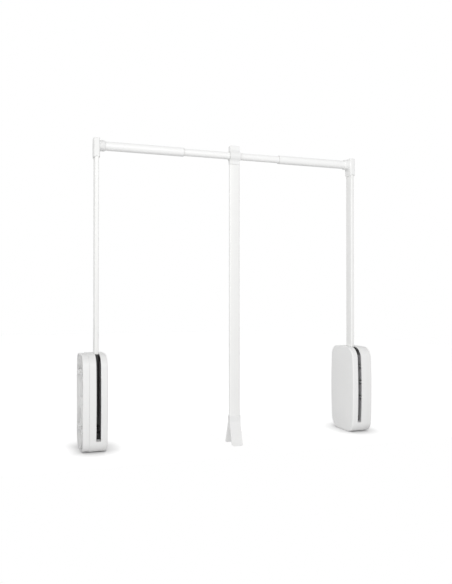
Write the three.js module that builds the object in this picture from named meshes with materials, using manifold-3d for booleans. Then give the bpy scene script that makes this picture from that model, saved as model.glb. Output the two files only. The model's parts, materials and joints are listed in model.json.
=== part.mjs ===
// Pull-down wardrobe rail: two wall boxes with spring-lifted arms, a telescopic crossbar between
// the arms, and a pull bar with a grip that hangs from the crossbar.
// Millimetres, +Z up. X runs along the crossbar, -Y is the front, where the rail comes down.
// The origin is the centre of the left box's wall face, which lies in the plane x = 0.

import * as THREE from 'three';
import * as BufferGeometryUtils from 'three/addons/utils/BufferGeometryUtils.js';
import Module from 'manifold-3d';

const wasm = await Module();
wasm.setup();

// Sizes of the whole lift
const ARM_SPACING = 788;
const PIVOT_TO_RAIL = 750;
const ARM_FORWARD = 11;
const BAR_OFF_MIDDLE = 7;
const ARM_DOWN_ANGLE = THREE.MathUtils.degToRad(105);

// Clearances
const CLEARANCE = 0.3;
const ARM_SIDE_CLEARANCE = 2;
const OVERRUN = 5;

// Wall box
const BOX_DEPTH = 137;
const BOX_HEIGHT = 260;
const BOX_CORNER = 24;
const SIDE_BOW = 6;
const END_BOW = 2.5;
const BASE_SHELL_DEPTH = 16.5;
const BASE_SET_IN = 1.2;
const SHELL_WALL = 2.6;
const EDGE_ROUND = 2.5;
const FACE_DOME = 1.5;
const DAMPER_TO_FACE = 4.1;
const PIVOT_ABOVE_BASE = 75;
const SLOT_SIDE_CLEARANCE = 0.7;
const SLOT_ABOVE_BASE = 31;
const SLOT_BEHIND_ARM = 3;
const COVER_BOSS_WALL = 3.3;
const COVER_BOSS_BEHIND_CORNER = 9;

// Rib lattice in the back of the base shell
const BASE_FLOOR = 2.4;
const RIB_THICKNESS = 2.2;
const HUB_DISC_RADIUS = 18;
const LOWER_RIB_ABOVE_BASE = 56;
const UPPER_RIB_BELOW_TOP = 54;
const WALL_SCREW_SPACING = 70;
const WALL_SCREW_BOSS_WALL = 2.4;
const WALL_SCREW_HOLE_RADIUS = 2.4;
const WALL_SCREW_SINK_DEPTH = 2.2;

// Steel channel that carries the arm
const CHEEK_THICKNESS = 2;
const CHANNEL_FRONT_GAP = 4;
const CHANNEL_END_GAP = 24;
const CHANNEL_CORNER = 22;
const CHANNEL_REAR_CORNER = 5;
const CHANNEL_WEB_BEHIND_ARM = 9;
const BEAD_HEIGHT = 1;
const BEAD_WIDTH = 5;
const BEAD_LENGTH = 26;
const BEAD_SPACING = 47;
const BEAD_COUNT = 3;
const LOWEST_BEAD_ABOVE_BASE = 100;
const POST_RADIUS = 4;
const POST_INSET = 9;

// Pivot, lift spring and damper
const AXLE_RADIUS = 5;
const AXLE_CHAMFER = 0.8;
const AXLE_WALL_END = 4.5;
const PIVOT_BOSS_WALL = 5.7;
const SLEEVE_WALL = 7;
const WIRE_RADIUS = 1.8;
const SPRING_TURNS = 2.5;
const SPRING_PITCH = 4.32;
const SPRING_FIXED_LEG = 26;
const SPRING_BEND_RADIUS = 3.2;
const SPRING_HOOK = 1.6;
const SPRING_COIL_GAP = 0.5;
const DAMPER_RADIUS = 21;
const DAMPER_THICKNESS = 8.5;
const DAMPER_RIM = 2;
const DAMPER_RIM_STEP = 1.4;
const DAMPER_EAR_REACH = 28;
const DAMPER_EAR_RADIUS = 5;
const DAMPER_EAR_THICKNESS = 2.5;
const DAMPER_EAR_HOLE_RADIUS = 1.9;

// Rubber stops
const REST_STOP_HEIGHT = 22;
const REST_STOP_BELOW_TOP = 30;
const REST_STOP_WIDTH = 11;
const DOWN_STOP_REACH = 41;
const DOWN_STOP_LENGTH = 14;
const STOP_CORNER = 1.5;

// Arms
const ARM_THICKNESS = 11;
const ARM_DEPTH = 31;
const ARM_WALL = 1.2;
const ARM_CORNER = 2.4;
const ARM_START_ABOVE_PIVOT = 183;
const HUB_EYE_ABOVE_PIVOT = 19;
const HUB_SHOULDER = 1;
const HUB_TONGUE = 60;
const HUB_WEB = 4;
const HUB_RIB = 3;
const HUB_POCKETS = 3;
const HUB_POCKET_CORNER = 2;

// Corner connectors
const CONNECTOR_SIDE_WALL = 2.05;
const CONNECTOR_FRONT_WALL = 1.9;
const CONNECTOR_ABOVE_RAIL = 18.4;
const CONNECTOR_BELOW_RAIL = 34.4;
const CONNECTOR_EDGE = 3;
const CONNECTOR_TOP_REAR_CORNER = 7;
const CONNECTOR_TOP_FRONT_CORNER = 2.5;
const CONNECTOR_BOTTOM_REAR_CORNER = 8;
const CONNECTOR_ARCH = 2.7;
const CONNECTOR_FLOOR = 2.6;
const CONNECTOR_FACE_WALL = 3.8;
const FERRULE_WALL = 2.2;
const FERRULE_END_FROM_ARM = 23;
const FERRULE_CHAMFER = 1;
const FIXING_SCREW_RADIUS = 1.8;
const FIXING_SCREW_HEAD_RADIUS = 3.2;
const FIXING_SCREW_HEAD = 1.5;
const FIXING_SCREW_BELOW_RAIL = 25;
const FIXING_SCREW_LENGTH = 6;

// Telescopic crossbar
const OUTER_TUBE_RADIUS = 12.5;
const OUTER_TUBE_WALL = 1;
const OUTER_TUBE_MOUTH_FROM_ARM = 245;
const INNER_TUBE_WALL = 1;
const INNER_TUBE_END_FROM_ARM = 30;
const GUIDE_LENGTH = 15;
const GUIDE_WALL = 0.6;
const GUIDE_LIP = 1.2;
const GUIDE_LIP_BELOW_TUBE = 0.2;

// Pull bar and its head
const BAR_WIDTH = 31;
const BAR_DEPTH = 11;
const BAR_WALL = 1.2;
const BAR_CORNER = 3.5;
const HEAD_ABOVE_RAIL = 30;
const HEAD_BELOW_RAIL = 25;
const HEAD_DEPTH = 13;
const HEAD_RING_WALL = 3.3;
const HEAD_TOP_CORNER = 4;
const HEAD_EDGE = 1;
const HEAD_TONGUE = 35;
const HEAD_NECK_RADIUS = 9;
const BUSH_WALL = 1;
const BUSH_LENGTH = 8;
const BUSH_FLANGE = 1.6;
const BUSH_FLANGE_RISE = 1;

// Grip at the foot of the pull bar
const GRIP_TOP_BELOW_RAIL = 758;
const GRIP_SIDE_WALL = 0.7;
const GRIP_FACE_WALL = 1.7;
const GRIP_COLLAR_FLARE = 1.3;
const GRIP_COLLAR_HEIGHT = 18;
const GRIP_COLLAR_CORNER = 1;
const GRIP_SOCKET_DEPTH = 22;
const GRIP_HEIGHT = 84;
const GRIP_FRONT_REACH = 29.5;
const GRIP_REAR_REACH = 34;
const GRIP_LEG_THICKNESS = 4;
const GRIP_CROTCH_BELOW_TOP = 36;
const GRIP_CROTCH_RADIUS = 2.5;
const GRIP_TOE_RADIUS = 1.6;
const GRIP_TOE_HEIGHT = 12;
const GRIP_TOE_KICK = 6;
const GRIP_TOE_CORNER = 6;
const GRIP_RIB_THICKNESS = 2;
const GRIP_RIB_HEIGHT = 3;
const GRIP_SCREW_BELOW_TOP = 11;
const GRIP_SCREW_LENGTH = 5;

// Cover screws
const COVER_SCREW_RADIUS = 1.6;
const COVER_SCREW_HEAD_RADIUS = 3.4;
const COVER_SCREW_HEAD = 2;
const COVER_SCREW_LENGTH = 18;

// Roundness of the solids
const ROUND_STEPS = 20;
const SMALL_ROUND_STEPS = 8;
const CORNER_STEPS = 3;
const BOX_CORNER_STEPS = 5;
const SIDE_STEPS = 6;
const END_STEPS = 2;
const EDGE_ROUND_STEPS = 3;
const WIRE_SIDES = 5;
const WIRE_STEPS_PER_TURN = 12;
const BEND_STEPS = 3;
const BEAD_ROUND_STEPS = 2;

// Places worked out from the sizes above
const CHANNEL_HALF = ARM_THICKNESS / 2 + ARM_SIDE_CLEARANCE;
const SPRING_LENGTH = SPRING_TURNS * SPRING_PITCH + 2 * WIRE_RADIUS;
const WALL_CHEEK_X = BASE_SHELL_DEPTH + SPRING_LENGTH + 2 * CLEARANCE;
const WALL_TO_ARM = WALL_CHEEK_X + CHEEK_THICKNESS + CHANNEL_HALF;
const COVER_CHEEK_X = WALL_TO_ARM + CHANNEL_HALF;
const DAMPER_END_X = COVER_CHEEK_X + CHEEK_THICKNESS + CLEARANCE + DAMPER_THICKNESS;
const BOX_THICKNESS = DAMPER_END_X + DAMPER_TO_FACE + SHELL_WALL;
const WIDTH = ARM_SPACING + 2 * WALL_TO_ARM;
const BOX_BOTTOM = -BOX_HEIGHT / 2;
const BOX_TOP = BOX_HEIGHT / 2;
const PIVOT_Y = -ARM_FORWARD;
const PIVOT_Z = BOX_BOTTOM + PIVOT_ABOVE_BASE;
const RAIL_Z = PIVOT_Z + PIVOT_TO_RAIL;
const BAR_X = WIDTH / 2 + BAR_OFF_MIDDLE;
const BASE_FLOOR_X = BASE_SHELL_DEPTH - BASE_FLOOR;
const CHANNEL_FRONT = -BOX_DEPTH / 2 + SHELL_WALL + CHANNEL_FRONT_GAP;
const CHANNEL_WEB_FRONT = PIVOT_Y + ARM_DEPTH / 2 + CHANNEL_WEB_BEHIND_ARM;
const CHANNEL_REAR = CHANNEL_WEB_FRONT + CHEEK_THICKNESS;
const SLEEVE_RADIUS = AXLE_RADIUS + CLEARANCE + SLEEVE_WALL;
const WALL_SCREW_SINK_RADIUS = WALL_SCREW_HOLE_RADIUS + WALL_SCREW_SINK_DEPTH;
const CONNECTOR_THICKNESS = ARM_THICKNESS + 2 * CLEARANCE + 2 * CONNECTOR_SIDE_WALL;
const CONNECTOR_DEPTH = ARM_DEPTH + 2 * CLEARANCE + 2 * CONNECTOR_FRONT_WALL;
const FERRULE_RADIUS = OUTER_TUBE_RADIUS + CLEARANCE + FERRULE_WALL;
const INNER_TUBE_RADIUS = OUTER_TUBE_RADIUS - OUTER_TUBE_WALL - GUIDE_WALL - 2 * CLEARANCE;
const HEAD_BORE = INNER_TUBE_RADIUS + BUSH_WALL + 2 * CLEARANCE;
const HEAD_RING_RADIUS = HEAD_BORE + HEAD_RING_WALL;
const GRIP_WIDTH = BAR_WIDTH + 2 * CLEARANCE + 2 * GRIP_SIDE_WALL;
const GRIP_COLLAR_DEPTH = BAR_DEPTH + 2 * CLEARANCE + 2 * GRIP_FACE_WALL;

const white_steel = { color: 0xf4f4f3, roughness: 0.35, metalness: 0 };
const white_plastic = { color: 0xf0f0ef, roughness: 0.45, metalness: 0 };
const grey_plastic = { color: 0x8f8f92, roughness: 0.6, metalness: 0 };
const black_plastic = { color: 0x2a2a2b, roughness: 0.5, metalness: 0 };
const zinc_steel = { color: 0x77787b, roughness: 0.4, metalness: 0.8 };
const spring_steel = { color: 0x2c2c2e, roughness: 0.35, metalness: 0.9 };
const black_rubber = { color: 0x1b1b1c, roughness: 0.9, metalness: 0 };
const nylon = { color: 0xdcdcda, roughness: 0.5, metalness: 0 };

// Returns a geometry whose faces point out, whichever way its outline was drawn.
function facingOut(geometry) {
  const place = geometry.getAttribute('position');
  const index = geometry.index;
  const a = new THREE.Vector3();
  const b = new THREE.Vector3();
  const c = new THREE.Vector3();
  let volume = 0;
  for (let i = 0; i < index.count; i += 3) {
    a.fromBufferAttribute(place, index.getX(i));
    b.fromBufferAttribute(place, index.getX(i + 1));
    c.fromBufferAttribute(place, index.getX(i + 2));
    volume += a.dot(b.cross(c));
  }
  if (volume < 0) {
    const turned = Array.from(index.array).reverse();
    geometry.setIndex(turned);
  }
  return geometry;
}

// Merges a three.js geometry's shared vertices and drops triangles that closed up.
function weld(geometry) {
  const bare = new THREE.BufferGeometry();
  bare.setAttribute('position', geometry.getAttribute('position').clone());
  if (geometry.index) {
    bare.setIndex(geometry.index.clone());
  }
  const merged = BufferGeometryUtils.mergeVertices(bare);
  const kept = [];
  for (let i = 0; i < merged.index.count; i += 3) {
    const a = merged.index.getX(i);
    const b = merged.index.getX(i + 1);
    const c = merged.index.getX(i + 2);
    if (a !== b && b !== c && c !== a) {
      kept.push(a, b, c);
    }
  }
  merged.setIndex(kept);
  return facingOut(merged);
}

function toSolid(geometry) {
  const welded = weld(geometry);
  return new wasm.Manifold(new wasm.Mesh({
    numProp: 3,
    vertProperties: new Float32Array(welded.getAttribute('position').array),
    triVerts: new Uint32Array(welded.index.array),
  }));
}

function toGeometry(solid) {
  const data = solid.getMesh();
  const geometry = new THREE.BufferGeometry();
  geometry.setAttribute('position', new THREE.BufferAttribute(new Float32Array(data.vertProperties), 3));
  geometry.setIndex(Array.from(data.triVerts));
  geometry.computeVertexNormals();
  return geometry;
}

function joined(first, ...others) {
  return others.reduce((sum, other) => sum.add(other), first);
}

function cut(first, ...others) {
  return others.reduce((left, other) => left.subtract(other), first);
}

// The same solid for the other end of the lift, turned round the middle plane.
function mirrored(geometry) {
  const other = geometry.clone();
  other.applyMatrix4(new THREE.Matrix4().makeScale(-1, 1, 1));
  other.translate(WIDTH, 0, 0);
  return facingOut(other);
}

// An outline in Y and Z, pulled along X.
function pulledAlongX(shape, fromX, toX, steps = CORNER_STEPS) {
  const geometry = new THREE.ExtrudeGeometry(shape, {
    depth: toX - fromX, bevelEnabled: false, curveSegments: steps,
  });
  geometry.applyMatrix4(new THREE.Matrix4().makeBasis(
    new THREE.Vector3(0, 1, 0), new THREE.Vector3(0, 0, 1), new THREE.Vector3(1, 0, 0)));
  geometry.translate(fromX, 0, 0);
  return toSolid(geometry);
}

// An outline in X and Z, pulled along Y.
function pulledAlongY(shape, fromY, toY, steps = CORNER_STEPS) {
  const geometry = new THREE.ExtrudeGeometry(shape, {
    depth: toY - fromY, bevelEnabled: false, curveSegments: steps,
  });
  geometry.applyMatrix4(new THREE.Matrix4().makeBasis(
    new THREE.Vector3(1, 0, 0), new THREE.Vector3(0, 0, 1), new THREE.Vector3(0, -1, 0)));
  geometry.translate(0, toY, 0);
  return toSolid(geometry);
}

// An outline in X and Y, pulled along Z.
function pulledAlongZ(shape, fromZ, toZ, steps = CORNER_STEPS) {
  const geometry = new THREE.ExtrudeGeometry(shape, {
    depth: toZ - fromZ, bevelEnabled: false, curveSegments: steps,
  });
  geometry.translate(0, 0, fromZ);
  return toSolid(geometry);
}

// A profile of [distance along X, radius] turned about an axis along X through (y, z).
function turnedAboutX(profile, y, z, steps = ROUND_STEPS) {
  const points = profile.map(([along, radius]) => new THREE.Vector2(radius, along));
  points.push(points[0].clone());
  const geometry = new THREE.LatheGeometry(points, steps);
  geometry.rotateZ(-Math.PI / 2);
  geometry.translate(0, y, z);
  return toSolid(geometry);
}

function rodAlongX(fromX, toX, radius, y, z, steps = ROUND_STEPS) {
  return turnedAboutX([[fromX, 0], [fromX, radius], [toX, radius], [toX, 0]], y, z, steps);
}

function tubeAlongX(fromX, toX, radius, bore, y, z, steps = ROUND_STEPS) {
  return turnedAboutX([[fromX, bore], [fromX, radius], [toX, radius], [toX, bore]], y, z, steps);
}

// A round rod between two points.
function rodBetween(from, to, radius, steps = SMALL_ROUND_STEPS) {
  const way = to.clone().sub(from);
  const geometry = new THREE.CylinderGeometry(radius, radius, way.length(), steps);
  geometry.applyQuaternion(new THREE.Quaternion().setFromUnitVectors(
    new THREE.Vector3(0, 1, 0), way.clone().normalize()));
  const middle = from.clone().add(to).multiplyScalar(1 / 2);
  geometry.translate(middle.x, middle.y, middle.z);
  return toSolid(geometry);
}

// A rectangle with a radius of its own at each corner: low left, low right, high right, high left.
function roundedRectangle(left, right, low, high, corners) {
  const [lowLeft, lowRight, highRight, highLeft] = corners;
  const shape = new THREE.Shape();
  const quarter = Math.PI / 2;
  shape.moveTo(left + lowLeft, low);
  shape.lineTo(right - lowRight, low);
  shape.absarc(right - lowRight, low + lowRight, lowRight, -quarter, 0, false);
  shape.lineTo(right, high - highRight);
  shape.absarc(right - highRight, high - highRight, highRight, 0, quarter, false);
  shape.lineTo(left + highLeft, high);
  shape.absarc(left + highLeft, high - highLeft, highLeft, quarter, 2 * quarter, false);
  shape.lineTo(left, low + lowLeft);
  shape.absarc(left + lowLeft, low + lowLeft, lowLeft, 2 * quarter, 3 * quarter, false);
  return shape;
}

function evenRectangle(middleU, middleV, width, height, corner) {
  return roundedRectangle(middleU - width / 2, middleU + width / 2,
    middleV - height / 2, middleV + height / 2, [corner, corner, corner, corner]);
}

// Solid through rings of equal length, closed by a fan at each end.
function lofted(rings) {
  const count = rings[0].length;
  const place = [];
  const faces = [];
  for (const ring of rings) {
    for (const point of ring) {
      place.push(point.x, point.y, point.z);
    }
  }
  for (let i = 0; i + 1 < rings.length; i += 1) {
    for (let j = 0; j < count; j += 1) {
      const next = (j + 1) % count;
      const a = i * count + j;
      const b = i * count + next;
      faces.push(a, b, b + count, a, b + count, a + count);
    }
  }
  for (const end of [0, rings.length - 1]) {
    const centre = new THREE.Vector3();
    rings[end].forEach((point) => centre.add(point));
    centre.divideScalar(count);
    const centreIndex = place.length / 3;
    place.push(centre.x, centre.y, centre.z);
    for (let j = 0; j < count; j += 1) {
      const a = end * count + j;
      const b = end * count + (j + 1) % count;
      if (end === 0) {
        faces.push(centreIndex, b, a);
      } else {
        faces.push(centreIndex, a, b);
      }
    }
  }
  const geometry = new THREE.BufferGeometry();
  geometry.setAttribute('position', new THREE.Float32BufferAttribute(place, 3));
  geometry.setIndex(faces);
  return toSolid(geometry);
}

// The box's outline at distance x from the wall: a rounded rectangle whose sides bow out.
function boxRing(x, inset) {
  const halfY = BOX_DEPTH / 2 - SIDE_BOW - inset;
  const halfZ = BOX_HEIGHT / 2 - END_BOW - inset;
  const corner = BOX_CORNER * (1 - inset / (BOX_DEPTH / 2));
  const ring = [];
  for (let k = 0; k < 4; k += 1) {
    const signY = k === 0 || k === 3 ? 1 : -1;
    const signZ = k < 2 ? 1 : -1;
    const nextSignY = k < 2 ? -1 : 1;
    const nextSignZ = k === 0 || k === 3 ? 1 : -1;
    for (let i = 0; i <= BOX_CORNER_STEPS; i += 1) {
      const angle = (k + i / BOX_CORNER_STEPS) * Math.PI / 2;
      ring.push([signY * (halfY - corner) + corner * Math.cos(angle),
        signZ * (halfZ - corner) + corner * Math.sin(angle)]);
    }
    const from = ring[ring.length - 1];
    const turn = (k + 1) * Math.PI / 2;
    const to = [nextSignY * (halfY - corner) + corner * Math.cos(turn),
      nextSignZ * (halfZ - corner) + corner * Math.sin(turn)];
    const steps = k % 2 === 0 ? END_STEPS : SIDE_STEPS;
    for (let i = 1; i < steps; i += 1) {
      const share = i / steps;
      ring.push([from[0] + (to[0] - from[0]) * share, from[1] + (to[1] - from[1]) * share]);
    }
  }
  return ring.map(([y, z]) => new THREE.Vector3(x,
    y + Math.sign(y) * SIDE_BOW * (1 - (z / halfZ) ** 2),
    z + Math.sign(z) * END_BOW * (1 - (y / halfY) ** 2)));
}

// How far the cover's face stands from the wall, where it lies this far in from the outline.
function domeAt(inset) {
  const share = 1 - inset / (BOX_DEPTH / 2);
  return FACE_DOME * (1 - share * share);
}

// The rings of the cover's domed face, this far under its outer surface.
function faceRings(wall) {
  const faceInsetShares = [0.42, 0.7];
  return faceInsetShares.map((share) => {
    const inset = BOX_DEPTH / 2 * share;
    return boxRing(BOX_THICKNESS - FACE_DOME + domeAt(inset) - wall, inset);
  });
}

// The cover's outer form, with a small round where its side walls meet the face.
function coverOutside(openX) {
  const edgeX = BOX_THICKNESS - FACE_DOME - EDGE_ROUND;
  const rings = [boxRing(openX, 0)];
  for (let i = 0; i <= EDGE_ROUND_STEPS; i += 1) {
    const angle = i / EDGE_ROUND_STEPS * Math.PI / 2;
    const inset = EDGE_ROUND * (1 - Math.cos(angle));
    rings.push(boxRing(edgeX + EDGE_ROUND * Math.sin(angle) + domeAt(inset), inset));
  }
  return lofted([...rings, ...faceRings(0)]);
}

// The hollow inside the cover, a wall's thickness in from its outer form.
function coverInside(openX) {
  return lofted([boxRing(openX, SHELL_WALL),
    boxRing(BOX_THICKNESS - FACE_DOME + domeAt(SHELL_WALL) - SHELL_WALL, SHELL_WALL),
    ...faceRings(SHELL_WALL)]);
}

// The four places, by Y and Z, of the screws that hold the cover, each on its corner's diagonal.
function coverScrewPlaces() {
  const out = (BOX_CORNER - COVER_BOSS_BEHIND_CORNER) * Math.SQRT1_2;
  const y = BOX_DEPTH / 2 - SIDE_BOW - BOX_CORNER + out;
  const z = BOX_HEIGHT / 2 - END_BOW - BOX_CORNER + out;
  return [[-y, -z], [y, -z], [-y, z], [y, z]];
}

// Cover: a domed moulding, open to the wall side and slotted for the arm, with screw bosses ribbed to
// its corners and a sill that runs back from the slot's foot and carries the down stop.
function coverSolid() {
  const start = BASE_SHELL_DEPTH + CLEARANCE;
  const outside = coverOutside(start);
  const hollow = coverInside(start - OVERRUN);
  const slotHalf = ARM_THICKNESS / 2 + SLOT_SIDE_CLEARANCE;
  const slot = pulledAlongX(roundedRectangle(-BOX_DEPTH, PIVOT_Y + ARM_DEPTH / 2 + SLOT_BEHIND_ARM,
    BOX_BOTTOM + SLOT_ABOVE_BASE, BOX_HEIGHT, [0, 0, 0, 0]),
  WALL_TO_ARM - slotHalf, WALL_TO_ARM + slotHalf);
  const bosses = coverScrewPlaces().map(([y, z]) => {
    const corner = [y + Math.sign(y) * COVER_BOSS_BEHIND_CORNER, z + Math.sign(z) * COVER_BOSS_BEHIND_CORNER];
    const boss = joined(rodAlongX(start, BOX_THICKNESS, COVER_SCREW_RADIUS + CLEARANCE + COVER_BOSS_WALL,
      y, z, SMALL_ROUND_STEPS), flatRib([y, z], corner, start, BOX_THICKNESS));
    return cut(boss, rodAlongX(start - OVERRUN, start + COVER_SCREW_LENGTH, COVER_SCREW_RADIUS + CLEARANCE,
      y, z, SMALL_ROUND_STEPS)).intersect(outside);
  });
  const sillTop = BOX_BOTTOM + SLOT_ABOVE_BASE - CLEARANCE;
  const sillHalf = CHANNEL_HALF - CLEARANCE;
  const sill = pulledAlongX(roundedRectangle(-BOX_DEPTH / 2, downStopRear(), sillTop - SHELL_WALL, sillTop,
    [0, 0, 0, 0]), WALL_TO_ARM - sillHalf, WALL_TO_ARM + sillHalf).intersect(outside);
  return cut(joined(cut(outside, hollow), ...bosses, sill), slot);
}

// A straight rib between two places given by Y and Z.
function flatRib(from, to, fromX, toX) {
  const along = new THREE.Vector2(to[0] - from[0], to[1] - from[1]);
  const side = new THREE.Vector2(-along.y, along.x).normalize().multiplyScalar(RIB_THICKNESS / 2);
  const shape = new THREE.Shape();
  shape.moveTo(from[0] + side.x, from[1] + side.y);
  shape.lineTo(from[0] - side.x, from[1] - side.y);
  shape.lineTo(to[0] - side.x, to[1] - side.y);
  shape.lineTo(to[0] + side.x, to[1] + side.y);
  shape.closePath();
  return pulledAlongX(shape, fromX, toX);
}

// A rib across the back of the base shell.
function latticeRib(from, to) {
  return flatRib(from, to, 0, BASE_SHELL_DEPTH);
}

// Base shell: a shallow tray a little smaller than the cover, with its open side to the wall,
// stiffened by crossed ribs round a central disc, with screw bosses on two cross ribs and a boss
// that holds the axle's end.
function baseShellSolid() {
  const outline = lofted([boxRing(0, BASE_SET_IN), boxRing(BASE_SHELL_DEPTH, BASE_SET_IN)]);
  const pocketInset = BASE_SET_IN + SHELL_WALL;
  const pocket = lofted([boxRing(-OVERRUN, pocketInset), boxRing(BASE_FLOOR_X, pocketInset)]);
  const upperZ = BOX_TOP - UPPER_RIB_BELOW_TOP;
  const lowerZ = BOX_BOTTOM + LOWER_RIB_ABOVE_BASE;
  const edgeY = BOX_DEPTH / 2;
  const ribs = [];
  for (const signY of [-1, 1]) {
    ribs.push(latticeRib([0, 0], [signY * edgeY, upperZ]));
    ribs.push(latticeRib([0, 0], [signY * edgeY, lowerZ]));
    ribs.push(latticeRib([0, BOX_TOP], [signY * edgeY, upperZ]));
    ribs.push(latticeRib([0, BOX_BOTTOM], [signY * edgeY, lowerZ]));
  }
  ribs.push(latticeRib([-edgeY, upperZ], [edgeY, upperZ]));
  ribs.push(latticeRib([-edgeY, lowerZ], [edgeY, lowerZ]));
  const bosses = [rodAlongX(0, BASE_SHELL_DEPTH, HUB_DISC_RADIUS, 0, 0)];
  const holes = [];
  for (const z of [upperZ, lowerZ]) {
    for (const y of [-WALL_SCREW_SPACING / 2, WALL_SCREW_SPACING / 2]) {
      bosses.push(rodAlongX(0, BASE_SHELL_DEPTH, WALL_SCREW_SINK_RADIUS + WALL_SCREW_BOSS_WALL, y, z,
        SMALL_ROUND_STEPS));
      holes.push(rodAlongX(-OVERRUN, BASE_SHELL_DEPTH + OVERRUN, WALL_SCREW_HOLE_RADIUS, y, z,
        SMALL_ROUND_STEPS));
      holes.push(turnedAboutX([[BASE_SHELL_DEPTH - WALL_SCREW_SINK_DEPTH, 0],
        [BASE_SHELL_DEPTH - WALL_SCREW_SINK_DEPTH, WALL_SCREW_HOLE_RADIUS],
        [BASE_SHELL_DEPTH, WALL_SCREW_SINK_RADIUS], [BASE_SHELL_DEPTH + OVERRUN, WALL_SCREW_SINK_RADIUS],
        [BASE_SHELL_DEPTH + OVERRUN, 0]], y, z, SMALL_ROUND_STEPS));
    }
  }
  bosses.push(rodAlongX(0, BASE_SHELL_DEPTH, AXLE_RADIUS + CLEARANCE + PIVOT_BOSS_WALL, PIVOT_Y,
    PIVOT_Z));
  holes.push(rodAlongX(AXLE_WALL_END - CLEARANCE, BASE_SHELL_DEPTH + OVERRUN, AXLE_RADIUS + CLEARANCE,
    PIVOT_Y, PIVOT_Z));
  for (const [y, z] of coverScrewPlaces()) {
    holes.push(rodAlongX(BASE_FLOOR_X - OVERRUN, BASE_SHELL_DEPTH + OVERRUN,
      COVER_SCREW_RADIUS + CLEARANCE, y, z, SMALL_ROUND_STEPS));
  }
  const posts = postPlaces().map(([y, z]) => rodAlongX(BASE_FLOOR_X, WALL_CHEEK_X - CLEARANCE, POST_RADIUS,
    y, z, SMALL_ROUND_STEPS));
  return cut(joined(joined(cut(outline, pocket), ...ribs, ...bosses).intersect(outline), ...posts),
    ...holes);
}

// The posts that carry the channel: one near each corner, and one that holds the spring's leg.
function postPlaces() {
  const front = CHANNEL_FRONT + CHANNEL_CORNER / 2 + POST_INSET;
  const rear = CHANNEL_REAR - POST_INSET;
  const high = BOX_TOP - CHANNEL_END_GAP - POST_INSET;
  const low = BOX_BOTTOM + CHANNEL_END_GAP + POST_INSET;
  const legY = PIVOT_Y + springRadius() + WIRE_RADIUS + CLEARANCE + POST_RADIUS;
  const legZ = PIVOT_Z - SPRING_FIXED_LEG + POST_RADIUS;
  return [[front, high], [rear, high], [front, low], [rear, low], [legY, legZ]];
}

// Channel: a steel strip bent to a U, whose two cheeks carry the axle and flank the arm.
function channelSolid() {
  const cheek = roundedRectangle(CHANNEL_FRONT, CHANNEL_REAR, BOX_BOTTOM + CHANNEL_END_GAP,
    BOX_TOP - CHANNEL_END_GAP,
    [CHANNEL_CORNER, CHANNEL_REAR_CORNER, CHANNEL_REAR_CORNER, CHANNEL_CORNER]);
  const wallCheek = pulledAlongX(cheek, WALL_CHEEK_X, WALL_CHEEK_X + CHEEK_THICKNESS);
  const coverCheek = pulledAlongX(cheek, COVER_CHEEK_X, COVER_CHEEK_X + CHEEK_THICKNESS);
  const webEnd = CHANNEL_END_GAP + CHANNEL_REAR_CORNER;
  const web = pulledAlongX(roundedRectangle(CHANNEL_WEB_FRONT, CHANNEL_REAR, BOX_BOTTOM + webEnd,
    BOX_TOP - webEnd, [0, 0, 0, 0]), WALL_CHEEK_X, COVER_CHEEK_X + CHEEK_THICKNESS);
  const beads = [];
  for (let i = 0; i < BEAD_COUNT; i += 1) {
    const z = BOX_BOTTOM + LOWEST_BEAD_ABOVE_BASE + i * BEAD_SPACING;
    const bead = evenRectangle(CHANNEL_FRONT + BEAD_LENGTH / 2, z, BEAD_LENGTH, BEAD_WIDTH, BEAD_WIDTH / 2);
    const wallFace = WALL_CHEEK_X + CHEEK_THICKNESS;
    beads.push(pulledAlongX(bead, wallFace - BEAD_HEIGHT, wallFace + BEAD_HEIGHT, BEAD_ROUND_STEPS));
    beads.push(pulledAlongX(bead, COVER_CHEEK_X - BEAD_HEIGHT, COVER_CHEEK_X + BEAD_HEIGHT,
      BEAD_ROUND_STEPS));
  }
  const sleeveHole = rodAlongX(WALL_CHEEK_X - OVERRUN, WALL_CHEEK_X + CHEEK_THICKNESS + CLEARANCE,
    SLEEVE_RADIUS + CLEARANCE, PIVOT_Y, PIVOT_Z);
  const axleHole = rodAlongX(COVER_CHEEK_X - OVERRUN, COVER_CHEEK_X + CHEEK_THICKNESS + OVERRUN,
    AXLE_RADIUS + CLEARANCE, PIVOT_Y, PIVOT_Z);
  return cut(joined(wallCheek, coverCheek, web, ...beads), sleeveHole, axleHole);
}

function axleSolid() {
  const end = COVER_CHEEK_X + CHEEK_THICKNESS + DAMPER_THICKNESS - DAMPER_RIM;
  return turnedAboutX([[AXLE_WALL_END, 0], [AXLE_WALL_END, AXLE_RADIUS - AXLE_CHAMFER],
    [AXLE_WALL_END + AXLE_CHAMFER, AXLE_RADIUS], [end - AXLE_CHAMFER, AXLE_RADIUS],
    [end, AXLE_RADIUS - AXLE_CHAMFER], [end, 0]], PIVOT_Y, PIVOT_Z);
}

function springRadius() {
  return SLEEVE_RADIUS + SPRING_COIL_GAP + WIRE_RADIUS;
}

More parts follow.
